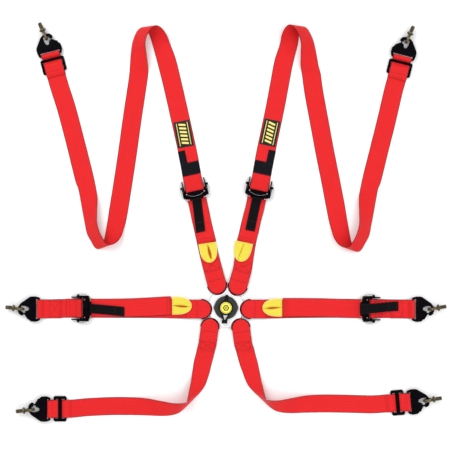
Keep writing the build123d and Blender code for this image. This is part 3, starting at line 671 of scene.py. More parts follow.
# Painted shade: a darker amber copy of the yellow tape, for the loop's inner face seen through its opening.
PAINTED_SHADE_TAPE = Webbing(
    "yellow_tape_shade", (0.52, 0.085, 0.012), (0.36, 0.05, 0.008), (0.30, 0.03, 0.008),
    edge=0.0012, yarn=0.0014, pick=0.0016,
)
BLACK_TAPE = Webbing(
    "black_tape_weave", (0.0050, 0.0045, 0.0055), (0.0020, 0.0020, 0.0024), (0.012, 0.011, 0.013),
    edge=0.0016, yarn=0.0012, pick=0.0019, specular=0.05,
)
FUZZ = Webbing(
    "hook_and_loop_pile", (0.0095, 0.0090, 0.014), (0.0030, 0.0030, 0.0050), (0.014, 0.013, 0.018),
    edge=0.0020, yarn=0.0009, pick=0.0009, depth=0.0005, roughness=0.85, specular=0.10,
)
LABEL_CLOTH = Webbing(
    "label_satin", (0.012, 0.012, 0.014), (0.006, 0.006, 0.008), (0.045, 0.045, 0.048),
    edge=0.0010, yarn=0.0006, pick=0.0006, depth=0.00006, roughness=0.42, specular=0.2,
)
LABEL_PRINT = Webbing(
    "label_yellow_print", (0.83, 0.74, 0.22), (0.74, 0.62, 0.14), (0.83, 0.74, 0.22),
    edge=0.0001, yarn=0.0006, pick=0.0006, depth=0.00004, roughness=0.5,
)
RED_THREAD = Plastic("red_thread", (0.20, 0.005, 0.008), (0.28, 0.008, 0.010), roughness=0.7, depth=0.0001)
YELLOW_THREAD = Plastic("yellow_thread", (0.50, 0.36, 0.03), (0.60, 0.45, 0.04), roughness=0.7, depth=0.0001)
BLACK_THREAD = Plastic(
    "black_thread", (0.020, 0.020, 0.023), (0.035, 0.035, 0.04), roughness=0.7, depth=0.0001,
)
BLACK_STEEL = Metal(
    "black_steel_paint", (0.0016, 0.0012, 0.0026), (0.0026, 0.0022, 0.0036), (0.026, 0.026, 0.030),
    metallic=0.0, roughness=0.40, wear=0.30, coat=0.0, specular=0.02,
)
CAST_ALLOY = Metal(
    "cast_alloy", (0.91, 0.915, 0.93), (0.86, 0.865, 0.88), (0.97, 0.97, 0.98),
    metallic=0.30, roughness=0.36, wear=0.8, fine=1300.0, depth=0.00007,
)
BRIGHT_STEEL = Metal(
    "bright_steel", (0.70, 0.70, 0.70), (0.58, 0.58, 0.58), (0.9, 0.9, 0.9),
    metallic=1.0, roughness=0.26, wear=0.6,
)
BROWN_WIRE = Metal(
    "brown_wire", (0.42, 0.34, 0.20), (0.30, 0.24, 0.15), (0.62, 0.56, 0.42),
    metallic=0.8, roughness=0.34, wear=0.5,
)
PLATED_ZINC = Metal(
    "yellow_plated_zinc", (0.150, 0.118, 0.060), (0.090, 0.074, 0.044), (0.42, 0.37, 0.26),
    metallic=0.85, roughness=0.32, wear=0.6, coarse=110.0,
)
DIAL_PLASTIC = Plastic(
    "dial_plastic", (0.0150, 0.0180, 0.0168), (0.0240, 0.0280, 0.0262), roughness=0.48, depth=0.00014,
)
HUB_PLASTIC = Plastic(
    "hub_plastic", (0.0040, 0.0044, 0.0044), (0.0065, 0.0070, 0.0070), roughness=0.34, specular=0.12,
)
BADGE_PLASTIC = Plastic(
    "badge_plastic", (0.82, 0.72, 0.06), (0.86, 0.77, 0.12), roughness=0.25, coat=0.4, depth=0.00001,
)


# ---- mesh helpers -------------------------------------------------------------------------
def make_object(name: str, mesh_data: Mesh, finish: Webbing | Metal | Plastic) -> bpy.types.Object:
    """Turn points and faces into a dressed, smooth object.

    Args:
        name: The piece's name.
        mesh_data: Its points in metres and its faces.
        finish: What it is made of.

    Returns:
        The new object, linked to the scene.
    """
    points, faces = mesh_data
    mesh = bpy.data.meshes.new(name)
    mesh.from_pydata([tuple(point) for point in points], [], faces)
    mesh.validate()
    mesh.update()
    mesh.polygons.foreach_set("use_smooth", [True] * len(mesh.polygons))
    mesh.materials.append(finish.material())
    piece = bpy.data.objects.new(name, mesh)
    bpy.context.scene.collection.objects.link(piece)
    return piece


def seat(piece: bpy.types.Object, body: str, nodes: tuple[str, ...] = ()) -> bpy.types.Object:
    """Let a piece ride on a body and stand for nodes.

    Args:
        piece: The finished piece.
        body: The body that carries it.
        nodes: The plain nodes that it replaces.

    Returns:
        The same piece.
    """
    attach(piece, body)
    if nodes:
        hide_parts(*nodes)
    LOG.info("piece %s on %s, %d faces", piece.name, body, len(piece.data.polygons))
    return piece


def sharpen(piece: bpy.types.Object, degrees: float = 35.0) -> bpy.types.Object:
    """Mark the edges that turn more than an angle as sharp."""
    piece.data.set_sharp_from_angle(angle=math.radians(degrees))
    return piece


def rings_mesh(rings: list[list[Vector]], closed: bool = True, caps: bool = True) -> Mesh:
    """Skin a row of rings with the same number of points.

    Args:
        rings: The rings, in order.
        closed: Whether each ring's last point joins its first.
        caps: Whether the first and last ring are filled.

    Returns:
        Points and faces.
    """
    size = len(rings[0])
    points = [point for ring in rings for point in ring]
    spans = size if closed else size - 1
    faces = [
        (row * size + k, row * size + (k + 1) % size, (row + 1) * size + (k + 1) % size, (row + 1) * size + k)
        for row in range(len(rings) - 1)
        for k in range(spans)
    ]
    if caps:
        faces.append(tuple(reversed(range(size))))
        faces.append(tuple(range((len(rings) - 1) * size, len(rings) * size)))
    return points, faces


def joined(meshes: list[Mesh]) -> Mesh:
    """Several meshes as one.

    Args:
        meshes: The meshes to join.

    Returns:
        One mesh of them all.
    """
    points: list[Vector] = []
    faces: list[tuple[int, ...]] = []
    for some_points, some_faces in meshes:
        offset = len(points)
        points += some_points
        faces += [tuple(index + offset for index in face) for face in some_faces]
    return points, faces


def turned_shape(profile: list[tuple[float, float]], place: Matrix, sides: int = 48) -> Mesh:
    """A turned shape about the local z axis.

    Args:
        profile: (radius, height) in millimetres.
        place: Where the shape's own frame lies, in metres.
        sides: Points round it.

    Returns:
        Points and faces.
    """
    rings = []
    for radius, height in profile:
        ring = []
        for k in range(sides):
            angle = 2 * math.pi * k / sides
            local = Vector((radius * math.cos(angle), radius * math.sin(angle), height)) * MM
            ring.append(place @ local)
        rings.append(ring)
    return rings_mesh(rings)


def wire_mesh(path: list[Vector], radius: float, sides: int = 10) -> Mesh:
    """A round wire along points.

    Args:
        path: The wire's middle, in metres.
        radius: The wire's radius in millimetres.
        sides: Points round it.

    Returns:
        Points and faces.
    """
    rings = []
    guide = Vector((0.0, 0.0, 1.0))
    for index, point in enumerate(path):
        run = (path[min(index + 1, len(path) - 1)] - path[max(index - 1, 0)]).normalized()
        if abs(run.dot(guide)) > 0.95:
            guide = Vector((1.0, 0.0, 0.0))
        first = run.cross(guide).normalized()
        second = run.cross(first)
        rings.append(
            [
                point + (first * math.cos(a) + second * math.sin(a)) * radius * MM
                for a in (2 * math.pi * k / sides for k in range(sides))
            ]
        )
    return rings_mesh(rings)


def rounded_path(points: list[Vector], steps: int = 6) -> list[Vector]:
    """A smooth line through given points.

    Args:
        points: The points, in metres.
        steps: Points on each stretch.

    Returns:
        The finer line.
    """
    rows = np.array([[*point, *point, 0.0] for point in points])
    fine = smooth_rows(rows, max((points[0] - points[-1]).length / (steps * len(points)), 0.0005))
    return [Vector(row[:3]) for row in fine]


def smooth_rows(rows: np.ndarray, step: float) -> np.ndarray:
    """Carry a smooth line through rows of numbers.

    Args:
        rows: One row for each station; the first six numbers are its two edge points.
        step: The longest distance between two rows of the result.

    Returns:
        The finer rows, the given ones among them.
    """
    middle = (rows[:, :3] + rows[:, 3:6]) / 2
    gaps = np.maximum(np.linalg.norm(np.diff(middle, axis=0), axis=1), 1e-6)
    spans = np.sqrt(gaps)
    rise = np.diff(rows, axis=0) / spans[:, None]
    slopes = np.empty_like(rows)
    slopes[0], slopes[-1] = rise[0], rise[-1]
    weight = (spans[:-1] + spans[1:])[:, None]
    slopes[1:-1] = (rise[:-1] * spans[1:, None] + rise[1:] * spans[:-1, None]) / weight
    fine = []
    for index, gap in enumerate(gaps):
        count = max(1, math.ceil(gap / step))
        for k in range(count):
            s = k / count
            start = (2 * s**3 - 3 * s**2 + 1) * rows[index]
            start = start + (s**3 - 2 * s**2 + s) * spans[index] * slopes[index]
            end = (3 * s**2 - 2 * s**3) * rows[index + 1] + (s**3 - s**2) * spans[index] * slopes[index + 1]
            fine.append(start + end)
    fine.append(rows[-1])
    return np.array(fine)


# ---- straps -------------------------------------------------------------------------------
@dataclass
class Route:
    """A strap's stations: left edge, right edge and thickness, in metres."""

    width: float
    thick: float = WEB_THICK
    rows: list[list[float]] = field(default_factory=list)

    def _put(self, left: Vector, right: Vector, thick: float | None = None, turned: bool = False) -> None:
        """Add one station.

        Args:
            left: The strap's left edge.
            right: Its right edge.
            thick: Its thickness there.
            turned: Whether its back shows.
        """
        if turned:
            left, right = right, left
        self.rows.append([*left, *right, (thick or self.thick) * MM])

    def level(
        self, points: list[tuple[float, ...]], height: float | None = None, turned: bool = False
    ) -> "Route":
        """Stations that lie level, square to a line of floor points.

        Args:
            points: (x, y) or (x, y, z) in millimetres.
            height: The height of points that have none.
            turned: Whether the strap lies on its other face here.

        Returns:
            This route.
        """
        spots = [Vector((p[0], p[1], p[2] if len(p) == 3 else height)) for p in points]
        for index, spot in enumerate(spots):
            run = spots[min(index + 1, len(spots) - 1)] - spots[max(index - 1, 0)]
            left = Vector((-run.y, run.x, 0)).normalized() * (self.width / 2)
            self._put((spot + left) * MM, (spot - left) * MM, turned=turned)
        return self

    def local(self, spot: Spot, points: list[tuple[float, ...]]) -> "Route":
        """Stations square to a fitting, from (u, z) or (u, z, v) points.

        Args:
            spot: The frame.
            points: Points in that frame.

        Returns:
            The route.
        """
        half = self.width / 2
        for point in points:
            v = point[2] if len(point) == 3 else 0.0
            self._put(spot.at(point[0], v + half, point[1]), spot.at(point[0], v - half, point[1]))
        return self

    def edges(self, pairs: list[Pair], turned: bool) -> "Route":
        """Stations given by their two edges.

        Args:
            pairs: Left and right edge points.
            turned: Whether the back shows.

        Returns:
            The route.
        """
        for first, second in pairs:
            self._put(Vector(first) * MM, Vector(second) * MM, turned=turned)
        return self

    def sleeve(self, spot: Spot) -> "Route":
        """The rounded, doubled end over a tongue, and its taper to one layer.

        Args:
            spot: The centre of the rounded end.

        Returns:
            This route.
        """
        radius = self.width / 2
        for degrees in (7, 18, 30, 42, 55, 70, 85):
            angle = math.radians(degrees)
            u, half = -radius * math.cos(angle), radius * math.sin(angle)
            thick = SLEEVE_THICK * (0.62 + 0.38 * math.sin(angle))
            self._put(spot.at(u, half, SLEEVE_MIDDLE), spot.at(u, -half, SLEEVE_MIDDLE), thick)
        for u, z, thick in ((6, 6.5, 5.4), (20, 6.5, 5.4), (32, 6.4, 5.0), (38, 6.0, 3.6), (44, 5.3, 1.5)):
            self._put(spot.at(u, radius, z), spot.at(u, -radius, z), thick)
        return self


@dataclass
class Strap:
    """A length of webbing or tape built along a route."""

    name: str
    route: Route
    finish: Webbing
    slot: str
    nodes: tuple[str, ...]
    body: str = ROOT_BODY
    held: str = "laid"
    step: float = 5.0
    profile: ClassVar[tuple[tuple[float, float], ...]] = (
        (-1.0, 0.0), (-0.988, 0.72), (-0.962, 1.0), (-0.925, 0.90), (-0.62, 0.93), (-0.3, 0.94), (0.0, 0.94),
        (0.3, 0.94), (0.62, 0.93), (0.925, 0.90), (0.962, 1.0), (0.988, 0.72), (1.0, 0.0),
    )

    def build(self) -> bpy.types.Object:
        """Returns:
            The strap's object.
        """
        rows = smooth_rows(np.array(self.route.rows), self.step * MM)
        lowest = (self.route.thick / 2 + 0.02) * MM
        rows[:, 2] = np.maximum(rows[:, 2], lowest)
        rows[:, 5] = np.maximum(rows[:, 5], lowest)
        middle = (rows[:, :3] + rows[:, 3:6]) / 2
        along = np.concatenate([[0.0], np.cumsum(np.linalg.norm(np.diff(middle, axis=0), axis=1))])
        ring = list(self.profile) + [(f, -h) for f, h in reversed(self.profile[1:-1])]
        rings, across, margins = [], [], []
        for index, row in enumerate(rows):
            side = Vector(row[:3] - row[3:6]) / 2
            run = Vector(middle[min(index + 1, len(rows) - 1)] - middle[max(index - 1, 0)])
            up = run.cross(side)
            if up.length < 1e-12:
                up = Vector((0, 0, 1))
            up.normalize()
            centre, half_thick = Vector(middle[index]), row[6] / 2
            rings.append([centre - side * f + up * (half_thick * h) for f, h in ring])
            across.append([f * side.length for f, _ in ring])
            margins.append([(1 - abs(f)) * side.length for f, _ in ring])
        piece = make_object(self.name, rings_mesh(rings), self.finish)
        self._map(piece, across, margins, along)
        seat(piece, self.body, self.nodes)
        LOG.info("strap %s is %.3f m long", self.name, along[-1])
        return piece

    @staticmethod
    def _map(
        piece: bpy.types.Object, across: list[list[float]], margins: list[list[float]], along: list[float]
    ) -> None:
        """Give a strap its maps: place across and along it, and distance from its edge.

        Args:
            piece: The strap.
            across: Distance from the middle, by ring and point.
            margins: Distance from the nearest edge, by ring and point.
            along: Distance from the start, by ring.
        """
        size = len(across[0])
        strap = piece.data.uv_layers.new(name="strap")
        margin = piece.data.uv_layers.new(name="margin")
        for loop in piece.data.loops:
            ring, k = divmod(loop.vertex_index, size)
            strap.data[loop.index].uv = (across[ring][k], along[ring])
            margin.data[loop.index].uv = (margins[ring][k], along[ring])


@dataclass
class Seam:
    """Rows of thread laid on whatever surface is under them."""

    name: str
    host: bpy.types.Object
    finish: Plastic
    slot: str
    pitch: float = 3.5
    length: float = 2.9
    radius: float = 0.45
    body: str = ROOT_BODY
    stitches: list[Mesh] = field(default_factory=list)

    def __post_init__(self) -> None:
        """Set up the ray test against the piece that is sewn."""
        mesh = self.host.data
        points = [self.host.matrix_world @ vertex.co for vertex in mesh.vertices]
        self.tree = BVHTree.FromPolygons(points, [tuple(p.vertices) for p in mesh.polygons])

    def _drop(self, x: float, y: float) -> Vector | None:
        """The highest point of the host under a place, in metres."""
        hit, _, _, _ = self.tree.ray_cast(Vector((x, y, 0.2)), Vector((0, 0, -1)))
        return hit

    def row(self, start: Vector, end: Vector) -> "Seam":
        """Lay one straight row of stitches between two places.

        Args:
            start: First place, in metres.
            end: Last place.

        Returns:
            This seam.
        """
        flat = Vector((end.x - start.x, end.y - start.y, 0))
        count = max(1, round(flat.length / (self.pitch * MM)))
        run = flat.normalized() * (self.length / 2 * MM)
        for index in range(count):
            middle = start + flat * ((index + 0.5) / count)
            back = self._drop(middle.x - run.x, middle.y - run.y)
            fore = self._drop(middle.x + run.x, middle.y + run.y)
            if back is not None and fore is not None and abs(back.z - fore.z) < 0.002:
                self.stitches.append(self._stitch(back, fore))
        return self

    def _stitch(self, back: Vector, fore: Vector) -> Mesh:
        """One stitch: a short thread that dips into the cloth at both ends.

        Args:
            back: Where the stitch starts.
            fore: Where it ends.

        Returns:
            The stitch's mesh.
        """
        run = fore - back
        side = run.cross(Vector((0, 0, 1))).normalized() * self.radius * MM
        up = side.cross(run).normalized() * self.radius * MM
        if up.z < 0:
            up = -up
        tips = [back - up * 0.3, fore - up * 0.3]
        points = [tips[0]]
        for share in (0.2, 0.8):
            centre = back + run * share
            points += [centre + side * math.cos(a) + up * (0.45 + math.sin(a)) for a in self._angles()]
        points.append(tips[1])
        faces: list[tuple[int, ...]] = []
        for k in range(6):
            after = (k + 1) % 6
            faces.append((0, 1 + after, 1 + k))
            faces.append((1 + k, 1 + after, 7 + after, 7 + k))
            faces.append((13, 7 + k, 7 + after))
        return points, faces

    @staticmethod
    def _angles() -> list[float]:
        """Angles of the six points round a thread."""
        return [math.pi * k / 3 for k in range(6)]

    def box(self, spot: Spot, near: float, far: float, half: float, cross: bool = True) -> "Seam":
        """A sewn box, with a cross in it.

        Args:
            spot: The frame it is drawn in.
            near: Its first u.
            far: Its last u.
            half: Half its width.
            cross: Whether it has its diagonals.

        Returns:
            This seam.
        """
        a, b = spot.at(near, half, 0), spot.at(near, -half, 0)
        c, d = spot.at(far, -half, 0), spot.at(far, half, 0)
        lines = [(a, b), (b, c), (c, d), (d, a)]
        if cross:
            lines += [(a, c), (b, d)]
        for start, end in lines:
            self.row(start, end)
        return self

    def bars(self, spot: Spot, places: tuple[float, ...], half: float) -> "Seam":
        """Rows straight across a strap at several u.

        Args:
            spot: The frame.
            places: Where the bars lie along it.
            half: Half their length.

        Returns:
            The seam.
        """
        for u in places:
            self.row(spot.at(u, half, 0), spot.at(u, -half, 0))
        return self

    def build(self) -> None:
        """Make the seam's object."""
        if self.stitches:
            seat(make_object(self.name, joined(self.stitches), self.finish), self.body)


@dataclass
class ShoulderStrap:
    """One shoulder: chest webbing, main webbing with its two fold-overs, and their seams."""

    hand: Hand
    chest: ClassVar[dict[Hand, list[tuple[float, float, float]]]] = {
        Hand.LEFT: [(-44.5, 138.0, 3.4), (-54.0, 180.4, 1.0), (-64.8, 229.0, 0.72)],
        Hand.RIGHT: [(49.5, 138.0, 3.4), (56.7, 180.4, 1.0), (67.5, 229.0, 0.72)],
    }
    tail: ClassVar[dict[Hand, list[tuple[float, float, float]]]] = {
        Hand.LEFT: [(-51.3, 173.6, 3.4), (-59.5, 206.0, 2.8), (-66.6, 237.0, 3.0)],
        Hand.RIGHT: [(54.5, 175.0, 3.4), (63.0, 206.0, 2.8), (69.6, 237.0, 3.0)],
    }
    first_arm: ClassVar[dict[Hand, list[tuple[float, float]]]] = {
        Hand.LEFT: [(-101.3, 407.2), (-129.6, 536.8), (-144.5, 601.6), (-160.7, 666.4)],
        Hand.RIGHT: [(105.3, 407.2), (132.3, 536.8), (144.5, 601.6), (156.0, 662.0)],
    }
    second_arm: ClassVar[dict[Hand, list[tuple[float, float]]]] = {
        Hand.LEFT: [(-241.7, 585.4), (-253.8, 504.4), (-267.3, 407.2), (-282.2, 310.0), (-291.0, 255.0)],
        Hand.RIGHT: [(236.3, 585.4), (251.1, 504.4), (266.0, 423.4), (282.2, 342.4), (297.5, 262.0)],
    }
    third_arm: ClassVar[dict[Hand, list[tuple[float, float]]]] = {
        Hand.LEFT: [(-380.7, 342.4), (-405.0, 439.6), (-430.7, 536.8), (-449.5, 596.0)],
        Hand.RIGHT: [(392.9, 342.4), (413.1, 423.4), (433.4, 504.4), (452.3, 585.4)],
    }
    top_fold: ClassVar[tuple[Pair, ...]] = (
        ((-151.2, 712.0, 5.0), (-200.0, 714.0, 0.7)),
        ((-159.3, 732.5, 20.0), (-206.5, 734.5, 0.7)),
        ((-171.8, 748.7, 31.0), (-214.6, 748.0, 2.0)),
        ((-185.3, 755.2, 37.0), (-225.0, 754.8, 4.0)),
        ((-199.8, 746.0, 41.0), (-236.4, 748.7, 5.0)),
        ((-211.0, 727.1, 39.0), (-246.0, 732.5, 4.0)),
        ((-215.5, 708.2, 34.0), (-252.4, 714.0, 3.0)),
        ((-213.3, 683.9, 25.0), (-256.8, 683.9, 2.0)),
        ((-210.0, 651.5, 12.0), (-259.4, 651.5, 1.0)),
        ((-210.0, 630.0, 0.9), (-260.8, 632.0, 0.7)),
    )
    bottom_fold: ClassVar[tuple[Pair, ...]] = (
        ((-270.0, 230.3, 0.9), (-320.4, 229.3, 0.7)),
        ((-275.4, 211.0, 8.0), (-324.4, 207.0, 0.7)),
        ((-280.8, 192.0, 16.0), (-328.0, 187.0, 0.7)),
        ((-291.6, 177.0, 25.0), (-333.5, 169.5, 1.5)),
        ((-305.1, 170.1, 32.0), (-342.0, 157.5, 3.0)),
        ((-318.6, 172.5, 37.0), (-353.0, 160.5, 4.0)),
        ((-328.0, 185.0, 39.0), (-364.5, 179.0, 4.0)),
        ((-338.5, 206.0, 38.0), (-375.5, 200.0, 3.0)),
        ((-344.8, 230.0, 35.0), (-381.5, 229.0, 2.0)),
        ((-345.2, 262.0, 27.0), (-387.8, 261.0, 1.0)),
        ((-345.4, 290.0, 15.0), (-393.6, 293.0, 0.7)),
        ((-349.0, 313.0, 0.9), (-399.0, 320.0, 0.7)),
    )
    roller_radius: float = 4.55
    anchor_radius: float = 3.85

    def build(self) -> None:
        """Build both webbings and sew them."""
        name = f"{self.hand.word}_shoulder"
        adjuster = PLACES.adjuster(name)
        chest = Route(WEB_WIDTH).sleeve(SLEEVES[name]).level(self.chest[self.hand])
        chest.local(adjuster, self._chest_end())
        chest_piece = Strap(
            f"{self.hand.word}_chest_strap", chest, RED, "red_webbing", (f"{self.hand.word}_chest_webbing",)
        ).build()
        main = Route(WEB_WIDTH).level(self.tail[self.hand])
        main.local(adjuster, self._over_roller())
        left = self.hand is Hand.LEFT
        main.level(self.first_arm[self.hand], FLOOR_LAYER)
        main.edges(self._moved(self.top_fold, -5.4, -12.0, 2.5, -5.4), turned=left)
        main.level(self.second_arm[self.hand], FLOOR_LAYER, turned=True)
        main.edges(self._moved(self.bottom_fold, 8.0, 0.0, -8.0, 12.0), turned=left)
        main.level(self.third_arm[self.hand], FLOOR_LAYER)
        slider, hook = SLIDERS[name], PLACES.hook(name)
        main.local(slider, [(-30.0, 0.72), (-13.0, 0.72), (-3.5, 6.7), (3.5, 6.7), (12.0, 0.72)])
        main.local(hook, [(-10.5, 0.8)] + round_bar(-2.5, 10.1, 4.2, -90.0, 90.0, 8) + [(-7.0, 13.0)])
        main.local(slider, [(21.0, 2.5), (13.0, 2.4), (3.5, 8.7), (-3.5, 8.7)])
        main.local(slider, [(-13.0, 6.9), (-21.0, 6.7), (-27.0, 2.5), (-31.0, 2.4)])
        main_piece = Strap(
            f"{self.hand.word}_main_strap", main, RED, "red_webbing", (f"{self.hand.word}_main_webbing",),
            held="folded",
        ).build()
        self._sew(name, chest_piece, main_piece)

    def _chest_end(self) -> list[tuple[float, float]]:
        """The chest webbing's loop round the anchor bar, sewn back on itself.

        Returns:
            Points along the strap and up.
        """
        points = [(-60.0, FLOOR_LAYER), (-30.0, FLOOR_LAYER)]
        points += round_bar(-17.0, 4.6, self.anchor_radius, -90.0, 90.0, 6)
        return points + [(-24.0, 7.2), (-33.0, SEWN_LAYER), (-52.0, SEWN_LAYER)]

    def _over_roller(self) -> list[tuple[float, float]]:
        """The main webbing's way over the adjuster's roller.

        Returns:
            Points along the strap and up.
        """
        points = [(-58.0, OVER_LAYER), (-34.0, OVER_LAYER), (-24.0, 9.6), (-17.0, 10.4), (-11.0, 10.6)]
        points += round_bar(-3.0, 6.5, self.roller_radius, 110.0, 60.0, 3)
        return points + [(9.0, 6.0), (20.0, 1.4), (30.0, FLOOR_LAYER)]

    def _moved(
        self, pairs: tuple[Pair, ...], start: float, lean_x: float, lean_y: float, end: float
    ) -> list[Pair]:
        """The left fold, or the same mirrored and shifted for the right side.

        Args:
            pairs: The left fold's stations.
            start: Sideways move of its first station.
            lean_x: Extra sideways move half way along.
            lean_y: Extra move along +Y half way along.
            end: Sideways move of its last station.

        Returns:
            The stations of this side's fold.
        """
        if self.hand is Hand.LEFT:
            return list(pairs)
        moved = []
        for index, pair in enumerate(pairs):
            share = index / (len(pairs) - 1)
            bump = math.sin(math.pi * share)
            dx = start + (end - start) * share + lean_x * bump
            moved.append(tuple((-x + dx, y + lean_y * bump, z) for x, y, z in pair))
        return moved

    def _sew(self, name: str, chest: bpy.types.Object, main: bpy.types.Object) -> None:
        """Seams of the sleeve, the tail's hem and the slider end.

        Args:
            name: The strap's name in node names.
            chest: The chest strap.
            main: The main strap.
        """
        spot = SLEEVES[name]
        Seam(f"{name}_sleeve_seam", chest, RED_THREAD, "red_webbing").box(spot, 40, 66, 20).bars(
            spot, (12.0, 36.5), 22.5
        ).build()
        hem = LOOPS[name]
        Seam(f"{name}_tail_seam", main, RED_THREAD, "red_webbing").bars(hem, (6.0, 12.0), 22.0).build()
        slider = SLIDERS[name]
        seam = Seam(f"{name}_slider_seam", main, RED_THREAD, "red_webbing")
        seam.bars(slider, (-15.0, -28.5), 22.0).build()


@dataclass
class LapStrap:
    """One lap side: lap webbing with its returned tail, and the sewn anchor webbing."""

    hand: Hand
    tail_end: ClassVar[dict[Hand, tuple[float, float]]] = {
        Hand.LEFT: (-147.2, 4.7), Hand.RIGHT: (153.1, -0.4),
    }

    def build(self) -> None:
        """Build both webbings and sew them."""
        name = f"{self.hand.word}_lap"
        adjuster = PLACES.adjuster(name)
        side = self.hand.sign
        lap = Route(WEB_WIDTH).sleeve(SLEEVES[name])
        lap.level([(side * 138.0, -4.4, 3.0), (side * 170.0, -4.0, 0.72), (side * 330.0, -2.8, 0.72)])
        wrap = [(-34.0, 0.72)] + round_bar(-13.0, 6.5, 4.55, -90.0, 90.0, 10)
        lap.local(adjuster, wrap + [(-22.0, 9.8), (-36.0, 3.4), (-56.0, TAIL_LAYER)])
        end_x, end_y = self.tail_end[self.hand]
        lap.level([(side * 250.0, -1.0, TAIL_LAYER), (end_x, end_y, TAIL_LAYER + 1.6)], turned=True)
        lap_piece = Strap(
            f"{self.hand.word}_lap_strap", lap, RED, "red_webbing", (f"{self.hand.word}_lap_webbing",)
        ).build()
        anchor = Route(WEB_WIDTH)
        near = [(40.0, SEWN_LAYER), (20.0, SEWN_LAYER), (9.0, 7.6)]
        near += round_bar(1.0, 4.6, 3.85, 90.0, 270.0, 8) + [(20.0, 0.72)]
        anchor.local(adjuster, near)
        far = [(-30.0, 0.72), (-16.0, 1.6)] + round_bar(-2.5, 10.1, 4.2, -90.0, 115.0, 9)
        anchor.local(PLACES.hook(name), far + [(-17.0, 4.6), (-30.0, SEWN_LAYER), (-62.0, SEWN_LAYER)])
        anchor_piece = Strap(
            f"{self.hand.word}_anchor_strap", anchor, RED, "red_webbing",
            (f"{self.hand.word}_anchor_webbing",), held="folded",
        ).build()
        sleeve = SLEEVES[name]
        Seam(f"{name}_sleeve_seam", lap_piece, RED_THREAD, "red_webbing").box(sleeve, 40, 64, 20).bars(
            sleeve, (12.0,), 22.5
        ).build()
        hook = PLACES.hook(name)
        Seam(f"{name}_anchor_seam", anchor_piece, RED_THREAD, "red_webbing").bars(
            adjuster, (11.5, 30.0), 22.0
        ).bars(hook, (-13.0,), 22.0).box(hook, -58.0, -30.0, 20).build()
        Seam(f"{name}_tail_seam", lap_piece, RED_THREAD, "red_webbing").bars(
            LOOPS[name], (6.0, 12.0), 22.0
        ).build()


@dataclass
class CrotchStrap:
    """One crotch strap: its sleeve, the banked bend and the slider end."""

    hand: Hand
    first_arm: ClassVar[dict[Hand, list[tuple[float, float, float]]]] = {
        Hand.LEFT: [(-54.2, -116.0, 3.2), (-58.0, -132.0, 1.3), (-63.2, -152.0, 0.72)],
        Hand.RIGHT: [(51.8, -116.0, 3.2), (55.8, -132.0, 1.3), (61.5, -152.0, 0.72)],
    }
    bend: ClassVar[tuple[Pair, ...]] = (
        ((-42.3, -169.3, 0.7), (-90.7, -172.3, 0.7)),
        ((-48.0, -189.0, 0.7), (-93.7, -196.0, 12.0)),
        ((-56.0, -210.6, 0.7), (-98.0, -216.5, 24.0)),
        ((-68.0, -228.0, 0.7), (-101.3, -235.0, 35.0)),
        ((-84.0, -244.5, 0.7), (-103.5, -247.0, 44.0)),
        ((-95.0, -255.5, 0.7), (-104.7, -251.1, 47.0)),
        ((-108.0, -269.0, 0.7), (-108.5, -252.0, 45.5)),
        ((-126.6, -284.6, 0.7), (-121.4, -254.6, 38.0)),
        ((-145.0, -291.0, 0.7), (-141.0, -254.8, 32.5)),
        ((-172.0, -293.5, 0.7), (-171.0, -250.7, 23.0)),
        ((-215.0, -292.0, 0.7), (-214.5, -244.6, 10.0)),
        ((-268.8, -291.0, 0.7), (-268.6, -242.5, 0.7)),
    )
    second_arm: ClassVar[dict[Hand, list[tuple[float, float, float]]]] = {
        Hand.LEFT: [(-311.9, -266.9, 0.72), (-376.7, -270.0, 0.72), (-412.0, -273.4, 0.9)],
        Hand.RIGHT: [(330.0, -260.6, 0.72), (395.0, -262.2, 0.72), (428.0, -260.0, 0.9)],
    }

    def build(self) -> None:
        """Build the webbing and sew it."""
        name = f"{self.hand.word}_crotch"
        route = Route(CROTCH_WIDTH).sleeve(SLEEVES[name]).level(self.first_arm[self.hand])
        route.edges(self._bend(), turned=self.hand is Hand.RIGHT)
        route.level(self.second_arm[self.hand])
        weave = [(-18.0, 6.7), (-12.5, 6.7), (-5.0, 2.3), (5.0, 2.3), (12.5, 6.7), (15.0, 6.7)]
        route.local(SLIDERS[name], weave)
        loop = round_bar(-2.5, 10.1, 4.2, 115.0, -90.0, 9) + [(-10.0, 1.9), (-20.0, 0.72)]
        route.local(PLACES.hook(name), loop)
        piece = Strap(
            f"{self.hand.word}_crotch_strap", route, RED, "red_webbing",
            (f"{self.hand.word}_crotch_webbing",),
            held="folded",
        ).build()
        sleeve = SLEEVES[name]
        Seam(f"{name}_sleeve_seam", piece, RED_THREAD, "red_webbing").box(sleeve, 38, 58, 19).bars(
            sleeve, (10.0, 63.0), 21.5
        ).build()
        slider = SLIDERS[name]
        seam = Seam(f"{name}_slider_seam", piece, RED_THREAD, "red_webbing")
        seam.bars(slider, (-26.0, -31.0), 21.0).build()

    def _bend(self) -> list[Pair]:
        """This side's banked bend.

        Returns:
            Left and right edge points round the turn.
        """
        if self.hand is Hand.LEFT:
            return list(self.bend)
        moved = []
        for index, pair in enumerate(self.bend):
            share = index / (len(self.bend) - 1)
            bump = math.sin(math.pi * share)
            moved.append(
                tuple((-x + 2.5 * bump, y + 7.0 * share + 3.5 * bump, z) for x, y, z in pair)
            )
        return moved


